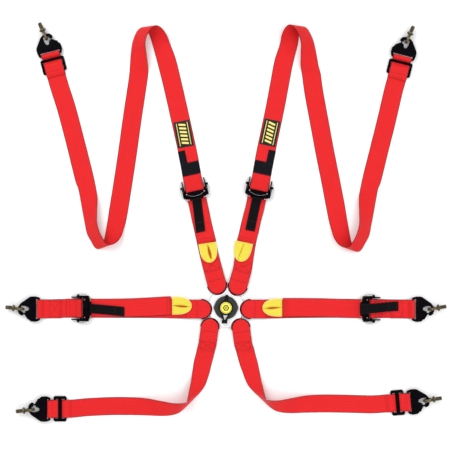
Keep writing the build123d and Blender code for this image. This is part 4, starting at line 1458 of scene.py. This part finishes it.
@dataclass
class PullTab:
    """A soft pull tab looped round an adjuster lever's rod."""

    name: str
    rod_u: float = -27.0
    rod_z: float = 15.1
    wrap: float = 3.4
    ends: ClassVar[dict[str, float]] = {"left_shoulder": 9.3, "right_shoulder": 0.2, "left_lap": 9.3}

    def build(self) -> None:
        """Build the tab and its seam."""
        spot = PLACES.adjuster(self.name)
        route = Route(TAB_WIDTH, TAB_THICK)
        if self.name == "right_lap":
            route.local(spot, round_bar(self.rod_u, self.rod_z, self.wrap, -60.0, -270.0, 9))
            run = [(-14.0, 18.9, 0.6), (2.0, 19.2, 1.6), (18.0, 17.0, 2.8), (34.0, 9.0, 4.0)]
            run += [(48.0, 5.2, 5.2), (74.0, 4.8, 7.0)]
        else:
            route.local(spot, round_bar(self.rod_u, self.rod_z, self.wrap, 60.0, 200.0, 7))
            end = self.ends[self.name]
            run = [(-33.5, 10.5, end * 0.1), (-42.0, 6.6, end * 0.2), (-56.0, 5.9, end * 0.35)]
            run += [(-85.0, 5.9, end * 0.65), (-117.0, 5.9, end)]
        route.local(spot, run)
        piece = Strap(
            f"{self.name}_tab_tape", route, BLACK_TAPE, "black_tape", (f"{self.name}_pull_tab",),
            body=f"{self.name}_tab", step=3.0,
        ).build()
        last = run[-1]
        inward = 1.0 if last[0] < 0 else -1.0
        seam = Seam(f"{self.name}_tab_seam", piece, BLACK_THREAD, "black_tape", body=f"{self.name}_tab")
        for offset in (4.0, 26.0):
            u = last[0] + inward * offset
            seam.row(spot.at(u, last[2] + 10.5, 0), spot.at(u, last[2] - 10.5, 0))
        seam.build()


# ---- sewn-on pieces -----------------------------------------------------------------------
@dataclass
class FingerLoop:
    """A yellow tape loop sewn to a tail's end: a band folded to a tip, open between its two legs."""

    name: str
    replaced: tuple[str, ...]
    slits: ClassVar[dict[str, tuple[float, float, float, float]]] = {
        # start and end of the opening along u, its half-width at the start, and its lean
        "left_shoulder": (-5.0, -46.0, 3.4, -4.0),
        "right_shoulder": (-6.0, -40.0, 0.5, 6.0),
        "left_lap": (-4.0, -44.0, 2.6, 3.0),
        "right_lap": (-4.0, -44.0, 2.6, -2.0),
    }
    thick: float = 2.8
    length: float = 54.0
    half: float = 24.3
    rows: int = 30
    columns: int = 10

    @property
    def lie(self) -> tuple[float, float]:
        """Lowest point and slope of the loop."""
        return (4.3, 2.4) if "shoulder" in self.name else (5.1, 6.0)

    def _half(self, share: float) -> float:
        """Half the loop's width at a share of the way to its tip."""
        return self.half * math.sqrt(max(0.0, 1.0 - share**3.2))

    def _opening(self, share: float) -> tuple[float, float]:
        """Middle and half-width of the opening at a share of the way to the tip.

        Args:
            share: The share of the way to the tip.

        Returns:
            The middle and half-width there.
        """
        start, end, wide, lean = self.slits[self.name]
        along = (share * self.length + start) / (start - end)
        if not 0.0 < along < 1.0:
            return lean * min(max(along, 0.0), 1.0), 0.0
        shape = math.sin(math.pi * along**1.25) ** 0.8
        return lean * along, wide * shape

    def build(self) -> None:
        """Build the two legs of the band, the shaded inside and the hem."""
        spot = LOOPS[self.name]
        low, slope = self.lie
        rise = math.tan(math.radians(slope))
        meshes = []
        for side in (1, -1):
            rings = []
            for row in range(self.rows + 1):
                share = 1.0 - (1.0 - row / self.rows) ** 1.6 if row else 0.0
                share = min(share, 0.9985)
                u = -1.0 - share * (self.length - 1.0)
                middle, gap = self._opening(share)
                outer = self._half(share)
                inner = middle * side + gap
                inner = min(inner, outer - 0.6) if outer > 1.2 else outer * 0.3
                ring = []
                for top in (1.0, 0.0):
                    for step in range(self.columns + 1):
                        k = step / self.columns if top else 1.0 - step / self.columns
                        v = inner + (outer - inner) * k
                        lip = min(1.0, (1.0 - abs(2 * k - 1) ** 6) + 0.25)
                        bow = 0.9 * math.sin(math.pi * k) * (1.0 - share)
                        crease = -0.7 * math.exp(-((k / 0.12) ** 2)) if gap < 0.3 else 0.0
                        z = low - u * rise + (self.thick * lip + bow + crease if top else 0.2 * (1 - lip))
                        ring.append(spot.at(u, side * v, z))
                rings.append(ring)
            points, faces = rings_mesh(rings)
            if side < 0:
                faces = [tuple(reversed(face)) for face in faces]
            meshes.append((points, faces))
        piece = make_object(f"{self.name}_finger_loop", joined(meshes), YELLOW)
        self._map(piece, spot)
        seat(piece, ROOT_BODY, self.replaced)
        self._inside(spot, low, rise)
        hem = Seam(f"{self.name}_loop_hem", piece, YELLOW_THREAD, "yellow_tape", radius=0.3)
        hem.bars(spot, (-3.6,), 21.5)
        hem.build()

    def _inside(self, spot: Spot, low: float, rise: float) -> None:
        """The inner face of the loop, seen through its opening, in a darker amber copy of the yellow tape that
        paints its shade.

        Args:
            spot: The loop's frame.
            low: Its lowest point.
            rise: Its slope.
        """
        rings = []
        start, end, _, _ = self.slits[self.name]
        half = 6.0
        for row in range(9):
            share = (-start + (start - end) * row / 8) / self.length
            middle, _ = self._opening(share)
            u = -share * self.length
            ring = []
            for v, z in ((-1, 0.7), (0, 0.4), (1, 0.7), (1, 0.2), (0, 0.0), (-1, 0.2)):
                ring.append(spot.at(u, middle + v * half, low - u * rise + z))
            rings.append(ring)
        piece = make_object(f"{self.name}_loop_inside", rings_mesh(rings), PAINTED_SHADE_TAPE)
        self._map(piece, spot)
        seat(piece, ROOT_BODY)

    @staticmethod
    def _map(piece: bpy.types.Object, spot: Spot) -> None:
        """Map the weave straight across the loop.

        Args:
            piece: The piece to map.
            spot: The loop's frame.
        """
        place = spot.matrix().inverted()
        strap = piece.data.uv_layers.new(name="strap")
        margin = piece.data.uv_layers.new(name="margin")
        for loop in piece.data.loops:
            local = place @ piece.data.vertices[loop.vertex_index].co
            share = min(max(-local.x / 0.054, 0.0), 1.0)
            edge = 0.0243 * math.sqrt(1.0 - share**3.2) - abs(local.y)
            strap.data[loop.index].uv = (local.y, local.x)
            margin.data[loop.index].uv = (min(edge, -local.x), local.x)


@dataclass
class FlatPatch:
    """A flat sewn piece: its outline given in its own frame, laid on the webbing."""

    name: str
    spot: Spot
    outline: list[tuple[float, float]]
    base: float
    thick: float
    finish: Webbing
    slot: str
    replaced: tuple[str, ...] = ()
    inset: float = 0.5

    def build(self) -> bpy.types.Object:
        """Build the patch with softened edges.

        Returns:
            The patch's object.
        """
        heights = ((0.0, 0.0), (0.0, 0.65), (0.45, 0.92), (1.0, 1.0))
        rings = []
        for share, height in heights:
            ring = self._inset(share * self.inset)
            rings.append([self.spot.at(u, v, self.base + self.thick * height) for u, v in ring])
        piece = make_object(self.name, rings_mesh(rings), self.finish)
        place = self.spot.matrix().inverted()
        strap = piece.data.uv_layers.new(name="strap")
        margin = piece.data.uv_layers.new(name="margin")
        for loop in piece.data.loops:
            local = place @ piece.data.vertices[loop.vertex_index].co
            strap.data[loop.index].uv = (local.y, local.x)
            inner = loop.vertex_index >= 3 * len(self.outline)
            margin.data[loop.index].uv = (self.inset * 3 * MM if inner else 0.0, local.x)
        seat(piece, ROOT_BODY, self.replaced)
        return piece

    def _inset(self, distance: float) -> list[tuple[float, float]]:
        """The outline moved inward by a distance.

        Args:
            distance: How far to move it in.

        Returns:
            The smaller outline.
        """
        count = len(self.outline)
        moved = []
        for index, (u, v) in enumerate(self.outline):
            before, after = self.outline[index - 1], self.outline[(index + 1) % count]
            first = Vector((u - before[0], v - before[1])).normalized()
            second = Vector((after[0] - u, after[1] - v)).normalized()
            inward = Vector((-first.y - second.y, first.x + second.x))
            scale = distance / max(0.3, inward.length_squared / 2)
            moved.append((u + inward.x * scale, v + inward.y * scale))
        return moved


def rounded_box(length: float, width: float, radius: float, steps: int = 4) -> list[tuple[float, float]]:
    """A rectangle with round corners, counter-clockwise.

    Args:
        length: Its size along u.
        width: Its size along v.
        radius: The corners' radius.
        steps: Steps in each corner.

    Returns:
        Its points.
    """
    points = []
    corners = ((1, 1, 0), (-1, 1, 90), (-1, -1, 180), (1, -1, 270))
    for side_u, side_v, start in corners:
        for step in range(steps + 1):
            angle = math.radians(start + 90 * step / steps)
            points.append(
                (
                    side_u * (length / 2 - radius) + radius * math.cos(angle),
                    side_v * (width / 2 - radius) + radius * math.sin(angle),
                )
            )
    return points


@dataclass
class ShoulderTrim:
    """The label and the hook-and-loop patch on one shoulder arm."""

    hand: Hand
    label_spots: ClassVar[dict[Hand, Spot]] = {
        Hand.LEFT: Spot(-114.2, 467.4, 10.6), Hand.RIGHT: Spot(118.6, 471.0, -12.4),
    }
    patch_spots: ClassVar[dict[Hand, Spot]] = {
        Hand.LEFT: Spot(-95.7, 374.0, 12.4), Hand.RIGHT: Spot(100.2, 376.0, -12.4),
    }
    base: float = 1.42

    def build(self) -> None:
        """Build the label, its print and the patch."""
        word = self.hand.word
        first = self.hand is Hand.LEFT
        spot = self.label_spots[self.hand]
        label = FlatPatch(
            f"{word}_label", spot, rounded_box(71.0, 43.7, 2.0), self.base, 0.8, LABEL_CLOTH, "label_black",
            ("shoulder_labels",) if first else (),
        ).build()
        self._print(word, spot)
        edge = Seam(
            f"{word}_label_seam", label, BLACK_THREAD, "label_black", pitch=3.0, length=2.3, radius=0.3
        )
        edge.box(spot, -33.5, 33.5, 19.8, cross=False).build()
        patch = FlatPatch(
            f"{word}_grip_patch", self.patch_spots[self.hand], self._patch_outline(), self.base, 1.6, FUZZ,
            "black_tape", ("hook_and_loop_patches",) if first else (), inset=0.8,
        ).build()
        seam = Seam(f"{word}_patch_seam", patch, BLACK_THREAD, "black_tape", pitch=3.0, length=2.3)
        seam.bars(self.patch_spots[self.hand], (-15.0, 14.0), 22.5).build()

    def _patch_outline(self) -> list[tuple[float, float]]:
        """The L of the hook-and-loop patch, its tongue on the outer side of the arm.

        Returns:
            The patch's outline.
        """
        outline = [(-17.5, -25.0), (17.5, -25.0), (17.5, 4.4), (52.0, 4.4), (52.0, 23.8), (-17.5, 25.0)]
        if self.hand is Hand.LEFT:
            return outline
        return [(u, -v) for u, v in reversed(outline)]

    def _print(self, word: str, spot: Spot) -> None:
        """A plain graphic: slanted bars between two thin rules.

        Args:
            word: The side's word.
            spot: The label's frame.
        """
        slant, half, bar = 4.0, 9.2, 5.4
        shapes = []
        for index in range(6):
            start = -29.0 + index * 9.9
            shapes.append(
                [(start, -half), (start + bar, -half), (start + bar + slant, half), (start + slant, half)]
            )
        for v in (-15.6, 13.8):
            shapes.append([(-31.0, v), (31.0, v), (31.0, v + 1.8), (-31.0, v + 1.8)])
        meshes = []
        for shape in shapes:
            low = [spot.at(u, v, self.base + 0.7) for u, v in shape]
            high = [spot.at(u, v, self.base + 0.9) for u, v in shape]
            meshes.append(rings_mesh([low, high]))
        piece = make_object(f"{word}_label_print", joined(meshes), LABEL_PRINT)
        strap = piece.data.uv_layers.new(name="strap")
        margin = piece.data.uv_layers.new(name="margin")
        for loop in piece.data.loops:
            spot_xy = piece.data.vertices[loop.vertex_index].co
            strap.data[loop.index].uv = (spot_xy.x, spot_xy.y)
            margin.data[loop.index].uv = (0.01, 0.0)
        sharpen(seat(piece, ROOT_BODY))


# ---- buckle -------------------------------------------------------------------------------
@dataclass
class Buckle:
    """Trim of the quick-release buckle: rim bead, dial, peg, hub insert and badge."""

    disc: float = 47.0
    foot: float = 51.5
    foot_half: float = 15.0
    crest: tuple[float, float] = (3.0, 58.0)
    crest_low: float = 30.0
    crest_half: float = 17.0
    scallop_margin: float = 4.0
    face: float = 16.0
    dial_radius: float = 31.3
    samples: int = 720

    def _reach(self, angle: float) -> float:
        """Distance from the axis to the star's edge in one direction.

        Args:
            angle: The direction, in radians.

        Returns:
            The distance in millimetres.
        """
        c, s = math.cos(angle), math.sin(angle)
        reach = self.disc
        if s < 0 and abs(self.foot * c / s) <= self.foot_half:
            reach = max(reach, self.foot / -s)
        if s > 0:
            for sign in (-1, 1):
                corner = Vector((self.crest[0] + sign * self.crest_half, self.crest_low))
                edge = Vector(self.crest) - corner
                determinant = c * -edge.y + s * edge.x
                if abs(determinant) > 1e-9:
                    along = (corner.x * -edge.y + corner.y * edge.x) / determinant
                    share = (c * corner.y - s * corner.x) / -determinant
                    if 0 <= -share <= 1 or 0 <= share <= 1:
                        point = Vector((c, s)) * along
                        farther = max((point - corner).length, (point - Vector(self.crest)).length)
                        if farther <= edge.length:
                            reach = max(reach, along)
        for name, spot in SLEEVES.items():
            radius = widths(name) / 2 + self.scallop_margin
            near = spot.x * c + spot.y * s
            off = spot.x**2 + spot.y**2 - near**2
            if near > 0 and off < radius**2:
                reach = min(reach, near - math.sqrt(radius**2 - off))
        return reach

    def _outline(self) -> list[Vector]:
        """The star's edge as points round it."""
        angles = [2 * math.pi * k / self.samples for k in range(self.samples)]
        return [Vector((math.cos(a), math.sin(a), 0)) * self._reach(a) for a in angles]

    def _inset(self, outline: list[Vector], distance: float) -> list[Vector]:
        """The edge moved inward.

        Args:
            outline: The outline.
            distance: How far to move it in.

        Returns:
            The smaller outline.
        """
        moved = []
        for index, point in enumerate(outline):
            run = outline[(index + 1) % len(outline)] - outline[index - 1]
            inward = Vector((-run.y, run.x, 0)).normalized()
            moved.append(point + inward * distance)
        return moved

    def build(self) -> None:
        """Build every trim piece."""
        self._rim()
        self._dial()
        self._badge()
        self._peg()

    def _rim(self) -> None:
        """The raised bead that follows the star's edge."""
        outline = self._outline()
        section = ((1.0, -0.2), (1.05, 0.45), (1.5, 0.85), (2.2, 0.95), (2.9, 0.75), (3.3, 0.2), (3.4, -0.2))
        rings = []
        for distance, lift in section:
            rings.append([Vector((p.x, p.y, self.face + lift)) * MM for p in self._inset(outline, distance)])
        points, faces = rings_mesh(rings, caps=False)
        seat(make_object("buckle_rim", (points, faces), CAST_ALLOY), ROOT_BODY)

    def _dial(self) -> None:
        """The rotary dial: fluted skirt, two grips and a shallow dished top."""
        profile = (
            (0.955, 16.5, 0.0), (0.995, 16.9, 0.6), (1.0, 17.8, 1.0), (1.0, 20.6, 1.0), (0.985, 22.0, 0.8),
            (0.955, 22.9, 0.3), (0.92, 23.35, 0.0), (0.88, 23.4, 0.0), (0.85, 23.1, 0.0), (0.70, 23.05, 0.0),
            (0.40, 23.05, 0.0),
        )
        sides = 360
        rings = []
        for factor, height, flute in profile:
            ring = []
            for k in range(sides):
                angle = 2 * math.pi * k / sides
                ahead = abs(math.remainder(angle, 2 * math.pi))
                off = min(ahead, abs(math.remainder(angle - math.pi, 2 * math.pi)))
                grip = 1.5 * math.exp(-((off / 0.22) ** 2))
                ripple = 0.30 * flute * math.cos(72 * angle)
                radius = self.dial_radius * factor + grip * min(1.0, factor) + ripple
                ring.append(Vector((radius * math.cos(angle), radius * math.sin(angle), height)) * MM)
            rings.append(ring)
        piece = make_object("dial_shell", rings_mesh(rings), DIAL_PLASTIC)
        seat(piece, "dial", ("dial",))

    def _badge(self) -> None:
        """A domed badge with a plain ringed hexagon."""
        dome = [
            (15.5, 26.6), (15.5, 27.1), (15.0, 27.5), (12.0, 27.85), (8.0, 28.1), (4.0, 28.22), (0.4, 28.25),
        ]
        lens = make_object("badge_dome", turned_shape(dome, Matrix.Identity(4), 64), BADGE_PLASTIC)
        seat(lens, "dial", ("dial_badge",))
        marks = []
        bands = ((13.2, 14.0, 72, 27.75), (5.4, 8.4, 6, 28.2), (0.01, 2.4, 24, 28.3))
        for inner, outer, sides, height in bands:
            rings = []
            for radius, lift in ((outer, -0.5), (outer, 0.0), (inner, 0.08), (inner, -0.5)):
                rings.append(
                    [
                        Vector((radius * math.cos(a), radius * math.sin(a), height + lift)) * MM
                        for a in (2 * math.pi * k / sides for k in range(sides))
                    ]
                )
            marks.append(rings_mesh(rings, caps=False))
        piece = make_object("badge_mark", joined(marks), HUB_PLASTIC)
        sharpen(seat(piece, "dial"))

    def _peg(self) -> None:
        """The release peg's domed head and the bright insert in the fork."""
        place = Matrix.Translation(Vector((2.0, 30.0, 0)) * MM)
        profile = [(4.9, 26.4), (4.9, 28.6), (4.5, 29.3), (3.4, 29.9), (1.8, 30.2), (0.2, 30.25)]
        peg = make_object("release_peg", turned_shape(profile, place, 40), HUB_PLASTIC)
        seat(peg, "dial")
        outline = [(-7.6, -19.8), (-4.4, -31.3), (-2.6, -31.3), (4.9, -19.8)]
        low = [Vector((x, y, 23.0)) * MM for x, y in outline]
        high = [Vector((x, y, 25.2)) * MM for x, y in outline]
        insert = make_object("fork_insert", rings_mesh([low, high]), BRIGHT_STEEL)
        sharpen(seat(insert, "dial"))


# ---- fittings -----------------------------------------------------------------------------
@dataclass
class EyeBolt:
    """A forged eye bolt with its collar and rolled thread."""

    name: str
    ring_middle: float = 11.75
    ring_half: float = 2.75
    ring_thick: float = 3.5
    height: float = 14.5
    neck: float = 13.0
    collar_end: float = 17.5
    collar_radius: float = 9.0
    shank_end: float = 36.5
    major: float = 5.55
    pitch: float = 1.27
    depth: float = 0.72

    def build(self) -> None:
        """Build the ring, collar and thread as one piece."""
        spot = PLACES.bolt(self.name)
        outward = Matrix((spot.across, Vector((0, 0, 1)), spot.along)).transposed().to_4x4()
        place = Matrix.Translation(spot.at(0, 0, self.height)) @ outward
        meshes = [self._ring(place), self._collar(place), self._thread(place)]
        piece = make_object(f"{self.name}_bolt", joined(meshes), PLATED_ZINC)
        sharpen(piece, 40.0)
        seat(piece, f"{self.name}_eye_bolt", (f"{self.name}_eye_bolt",))

    def _ring(self, place: Matrix) -> Mesh:
        """The eye: a ring with a rounded oblong section, standing on edge.

        Args:
            place: The bolt's frame.

        Returns:
            The ring's mesh.
        """
        rings = []
        for k in range(56):
            angle = 2 * math.pi * k / 56
            ring = []
            for step in range(16):
                turn = 2 * math.pi * step / 16
                c, s = math.cos(turn), math.sin(turn)
                swell = (abs(c) ** 3.2 + abs(s) ** 3.2) ** (-1 / 3.2)
                radius = self.ring_middle + self.ring_half * c * swell
                side = self.ring_thick * s * swell
                local = Vector((side, radius * math.cos(angle), radius * math.sin(angle))) * MM
                ring.append(place @ local)
            rings.append(ring)
        points, faces = rings_mesh(rings, caps=False)
        size, last = 16, 55 * 16
        faces += [(last + k, last + (k + 1) % size, (k + 1) % size, k) for k in range(size)]
        return points, faces

    def _collar(self, place: Matrix) -> Mesh:
        """The turned collar that seats on the mounting plate.

        Args:
            place: The bolt's frame.

        Returns:
            The collar's mesh.
        """
        r = self.collar_radius
        profile = [
            (5.6, self.neck - 1.8), (7.0, self.neck - 0.6), (r - 0.9, self.neck), (r, self.neck + 0.9),
            (r, self.collar_end - 0.8), (r - 0.8, self.collar_end), (6.3, self.collar_end),
            (6.0, self.collar_end + 0.6),
        ]
        return turned_shape(profile, place, 48)

    def _thread(self, place: Matrix) -> Mesh:
        """The shank's thread: a groove that winds round it, fading out at both ends.

        Args:
            place: The bolt's frame.

        Returns:
            The thread's mesh.
        """
        sides, per_turn = 36, 6
        start, end = self.collar_end + 0.2, self.shank_end
        count = int((end - start) / self.pitch * per_turn)
        rings = []
        for row in range(count + 1):
            height = start + (end - start) * row / count
            fade = min(1.0, (height - start) / 2.4)
            taper = max(0.0, height - (end - 1.0)) * 0.9
            ring = []
            for k in range(sides):
                angle = 2 * math.pi * k / sides
                phase = (height / self.pitch - k / sides) % 1.0
                groove = abs(2 * phase - 1) * self.depth * fade
                radius = self.major - groove - taper
                point = Vector((radius * math.cos(angle), radius * math.sin(angle), height))
                ring.append(place @ (point * MM))
            rings.append(ring)
        return rings_mesh(rings)


@dataclass
class AdjusterTrim:
    """Wire bail, pin heads and rivets on one lever adjuster."""

    name: str
    wire: float = 0.7
    thin_wire: float = 0.28

    def build(self) -> None:
        """Build the trim; the bail and rivets move with the lever."""
        spot = PLACES.adjuster(self.name)
        lever = f"{self.name}_lever"
        finish = BROWN_WIRE if "lap" in self.name else BRIGHT_STEEL
        bail = [
            (7.0, 37.6, 9.5), (-1.0, 38.4, 11.0), (-9.0, 38.0, 12.6), (-16.0, 35.6, 13.4),
            (-22.0, 30.6, 13.8), (-26.0, 25.0, 14.4), (-27.0, 18.5, 15.1),
        ]
        arc = [(-14.0, 21.0, 17.0), (-17.4, 13.0, 17.1), (-19.4, 5.0, 17.1)]
        arc += [(u, -v, z) for u, v, z in reversed(arc)]
        wires = []
        if "shoulder" in self.name:
            wires.append(wire_mesh(rounded_path([spot.at(*point) for point in arc]), self.thin_wire))
        for side in (1, -1):
            path = [spot.at(u, side * v, z) for u, v, z in bail]
            wires.append(wire_mesh(rounded_path(path), self.wire))
        seat(make_object(f"{self.name}_bail", joined(wires), finish), lever)
        rivets = []
        for v in (24.0, -24.0):
            place = Matrix.Translation(spot.at(-11.0, v, 16.75))
            rivets.append(turned_shape([(1.5, 0.0), (1.4, 0.4), (0.9, 0.7), (0.2, 0.8)], place, 20))
        seat(make_object(f"{self.name}_rivets", joined(rivets), finish), lever)
        heads = []
        for side in (1, -1):
            turned = Matrix((spot.along, Vector((0, 0, -side)), spot.across * side)).transposed().to_4x4()
            place = Matrix.Translation(spot.at(7.0, side * 36.0, 9.0)) @ turned
            profile = [(2.6, 0.0), (3.6, 0.1), (3.6, 1.0), (3.0, 1.6), (1.4, 2.0), (0.2, 2.1)]
            heads.append(turned_shape(profile, place, 28))
        seat(
            make_object(f"{self.name}_pin_heads", joined(heads), BLACK_STEEL), ROOT_BODY
        )


@dataclass
class HookTrim:
    """The domed head of the gate's rivet on one snap hook."""

    name: str
    mouth: ClassVar[dict[str, int]] = {
        "left_shoulder": -1, "right_shoulder": 1, "left_lap": 1, "right_lap": -1, "left_crotch": -1,
        "right_crotch": -1,
    }

    def build(self) -> None:
        """Build the head of the rivet on the hook."""
        spot = PLACES.hook(self.name)
        profile = [(2.9, 0.0), (2.8, 0.4), (1.9, 0.9), (0.2, 1.1)]
        place = Matrix.Translation(spot.at(26.0, self.mouth[self.name] * 24.0, 12.85))
        head = make_object(f"{self.name}_gate_rivet", turned_shape(profile, place, 28), BLACK_STEEL)
        seat(head, f"{self.name}_hook")


class CarriedNodes:
    """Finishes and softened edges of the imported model's own pieces."""

    rules = (
        ("_hook", BLACK_STEEL, 0.7), ("_slider", BLACK_STEEL, 0.6), ("_adjuster_frame", BLACK_STEEL, 0.5),
        ("_adjuster_lever", BLACK_STEEL, 0.5), ("_tongue", BLACK_STEEL, 0.5), ("_gate", BLACK_STEEL, 0.2),
        ("buckle_body", CAST_ALLOY, 0.0), ("buckle_back_plate", BRIGHT_STEEL, 0.3),
        ("lock_ring", BRIGHT_STEEL, 0.0),
        ("return_spring", BRIGHT_STEEL, 0.0), ("dial_hub", HUB_PLASTIC, 0.5),
    )

    def dress(self) -> None:
        """Give every shown node its material, and a small bevel where it has sharp edges."""
        for name, node in frame["nodes"].items():
            for ending, finish, bevel in self.rules:
                if name.endswith(ending):
                    self._finish(node, finish, bevel)
                    LOG.info("node %s wears %s", name, finish.name)

    @staticmethod
    def _finish(node: bpy.types.Object, finish: Metal | Plastic, bevel: float) -> None:
        """Assign a finish and soften the edges.

        Args:
            node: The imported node's object.
            finish: Its finish.
            bevel: The bevel's width in millimetres, or 0 for none.
        """
        if not node.material_slots:
            node.data.materials.append(finish.material())
        for slot in node.material_slots:
            slot.material = finish.material()
        if bevel:
            weld = node.modifiers.new("weld", "WELD")
            weld.merge_threshold = 1e-6
            soft = node.modifiers.new("soft_edges", "BEVEL")
            soft.width = bevel * MM
            soft.segments = 2
            soft.limit_method = "ANGLE"
            soft.angle_limit = math.radians(40)
            soft.harden_normals = False


# ---- studio -------------------------------------------------------------------------------
@dataclass
class Studio:
    """Floor, lights and camera."""

    centre: tuple[float, float] = (-0.0027, 0.222)
    view_width: float = 1.215
    lens: float = 100.0
    sensor: float = 36.0

    def build(self) -> None:
        """Set up everything that isn't the harness."""
        self._floor()
        self._light("key", (-1.5, 1.9, 2.6), 2.2, 62.0)
        self._light("fill", (1.9, 0.4, 2.4), 2.6, 34.0)
        self._light("low", (0.2, -2.0, 1.9), 1.8, 22.0)
        world = bpy.data.worlds.new("studio")
        world.use_nodes = True
        background = world.node_tree.nodes["Background"]
        background.inputs[0].default_value = (1.0, 1.0, 1.0, 1.0)
        background.inputs[1].default_value = 0.62
        bpy.context.scene.world = world
        bpy.context.scene.view_settings.view_transform = "Standard"
        data = bpy.data.cameras.new("camera")
        data.lens, data.sensor_width = self.lens, self.sensor
        camera = bpy.data.objects.new("camera", data)
        distance = self.view_width * self.lens / self.sensor
        camera.location = (*self.centre, distance)
        bpy.context.scene.collection.objects.link(camera)
        bpy.context.scene.camera = camera

    def _floor(self) -> None:
        """A plain pale floor."""
        mesh = bpy.data.meshes.new("floor")
        half = 6.0
        mesh.from_pydata(
            [(-half, -half, 0), (half, -half, 0), (half, half, 0), (-half, half, 0)], [], [(0, 1, 2, 3)]
        )
        material, graph, shader = start_material("pale_floor")
        spot = graph.add("ShaderNodeTexCoord").outputs["Object"]
        cloud = graph.noise(spot, 3.0)
        tone = graph.blend(graph.between(cloud, 0.3, 0.7, 0.0, 1.0), (0.90, 0.90, 0.90), (0.93, 0.93, 0.93))
        graph.feed(shader.inputs["Base Color"], tone)
        shader.inputs["Roughness"].default_value = 0.9
        mesh.materials.append(material)
        floor = bpy.data.objects.new("floor", mesh)
        bpy.context.scene.collection.objects.link(floor)

    def _light(self, name: str, place: tuple[float, float, float], size: float, power: float) -> None:
        """A soft square light aimed at the harness.

        Args:
            name: The light's name.
            place: Where it hangs, in metres.
            size: The length of its side.
            power: Its power in watts.
        """
        data = bpy.data.lights.new(name, "AREA")
        data.size, data.energy = size, power
        light = bpy.data.objects.new(name, data)
        light.location = place
        aim = Vector((*self.centre, 0.0)) - Vector(place)
        light.rotation_mode = "QUATERNION"
        light.rotation_quaternion = aim.to_track_quat("-Z", "Y")
        bpy.context.scene.collection.objects.link(light)


def write_size() -> None:
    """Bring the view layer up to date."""
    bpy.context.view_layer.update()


def main() -> None:
    """Build every sub-assembly in order."""
    logging.basicConfig(level=logging.INFO, format="%(message)s")
    Studio().build()
    CarriedNodes().dress()
    for hand in Hand:
        ShoulderStrap(hand).build()
        LapStrap(hand).build()
        CrotchStrap(hand).build()
        ShoulderTrim(hand).build()
    for index, name in enumerate(LOOPS):
        FingerLoop(name, ("finger_loops",) if index == 0 else ()).build()
    for name in ADJUSTER_NAMES:
        PullTab(name).build()
        AdjusterTrim(name).build()
    for name in HOOK_NAMES:
        EyeBolt(name).build()
        HookTrim(name).build()
    Buckle().build()
    write_size()


if __name__ == "__main__":
    main()
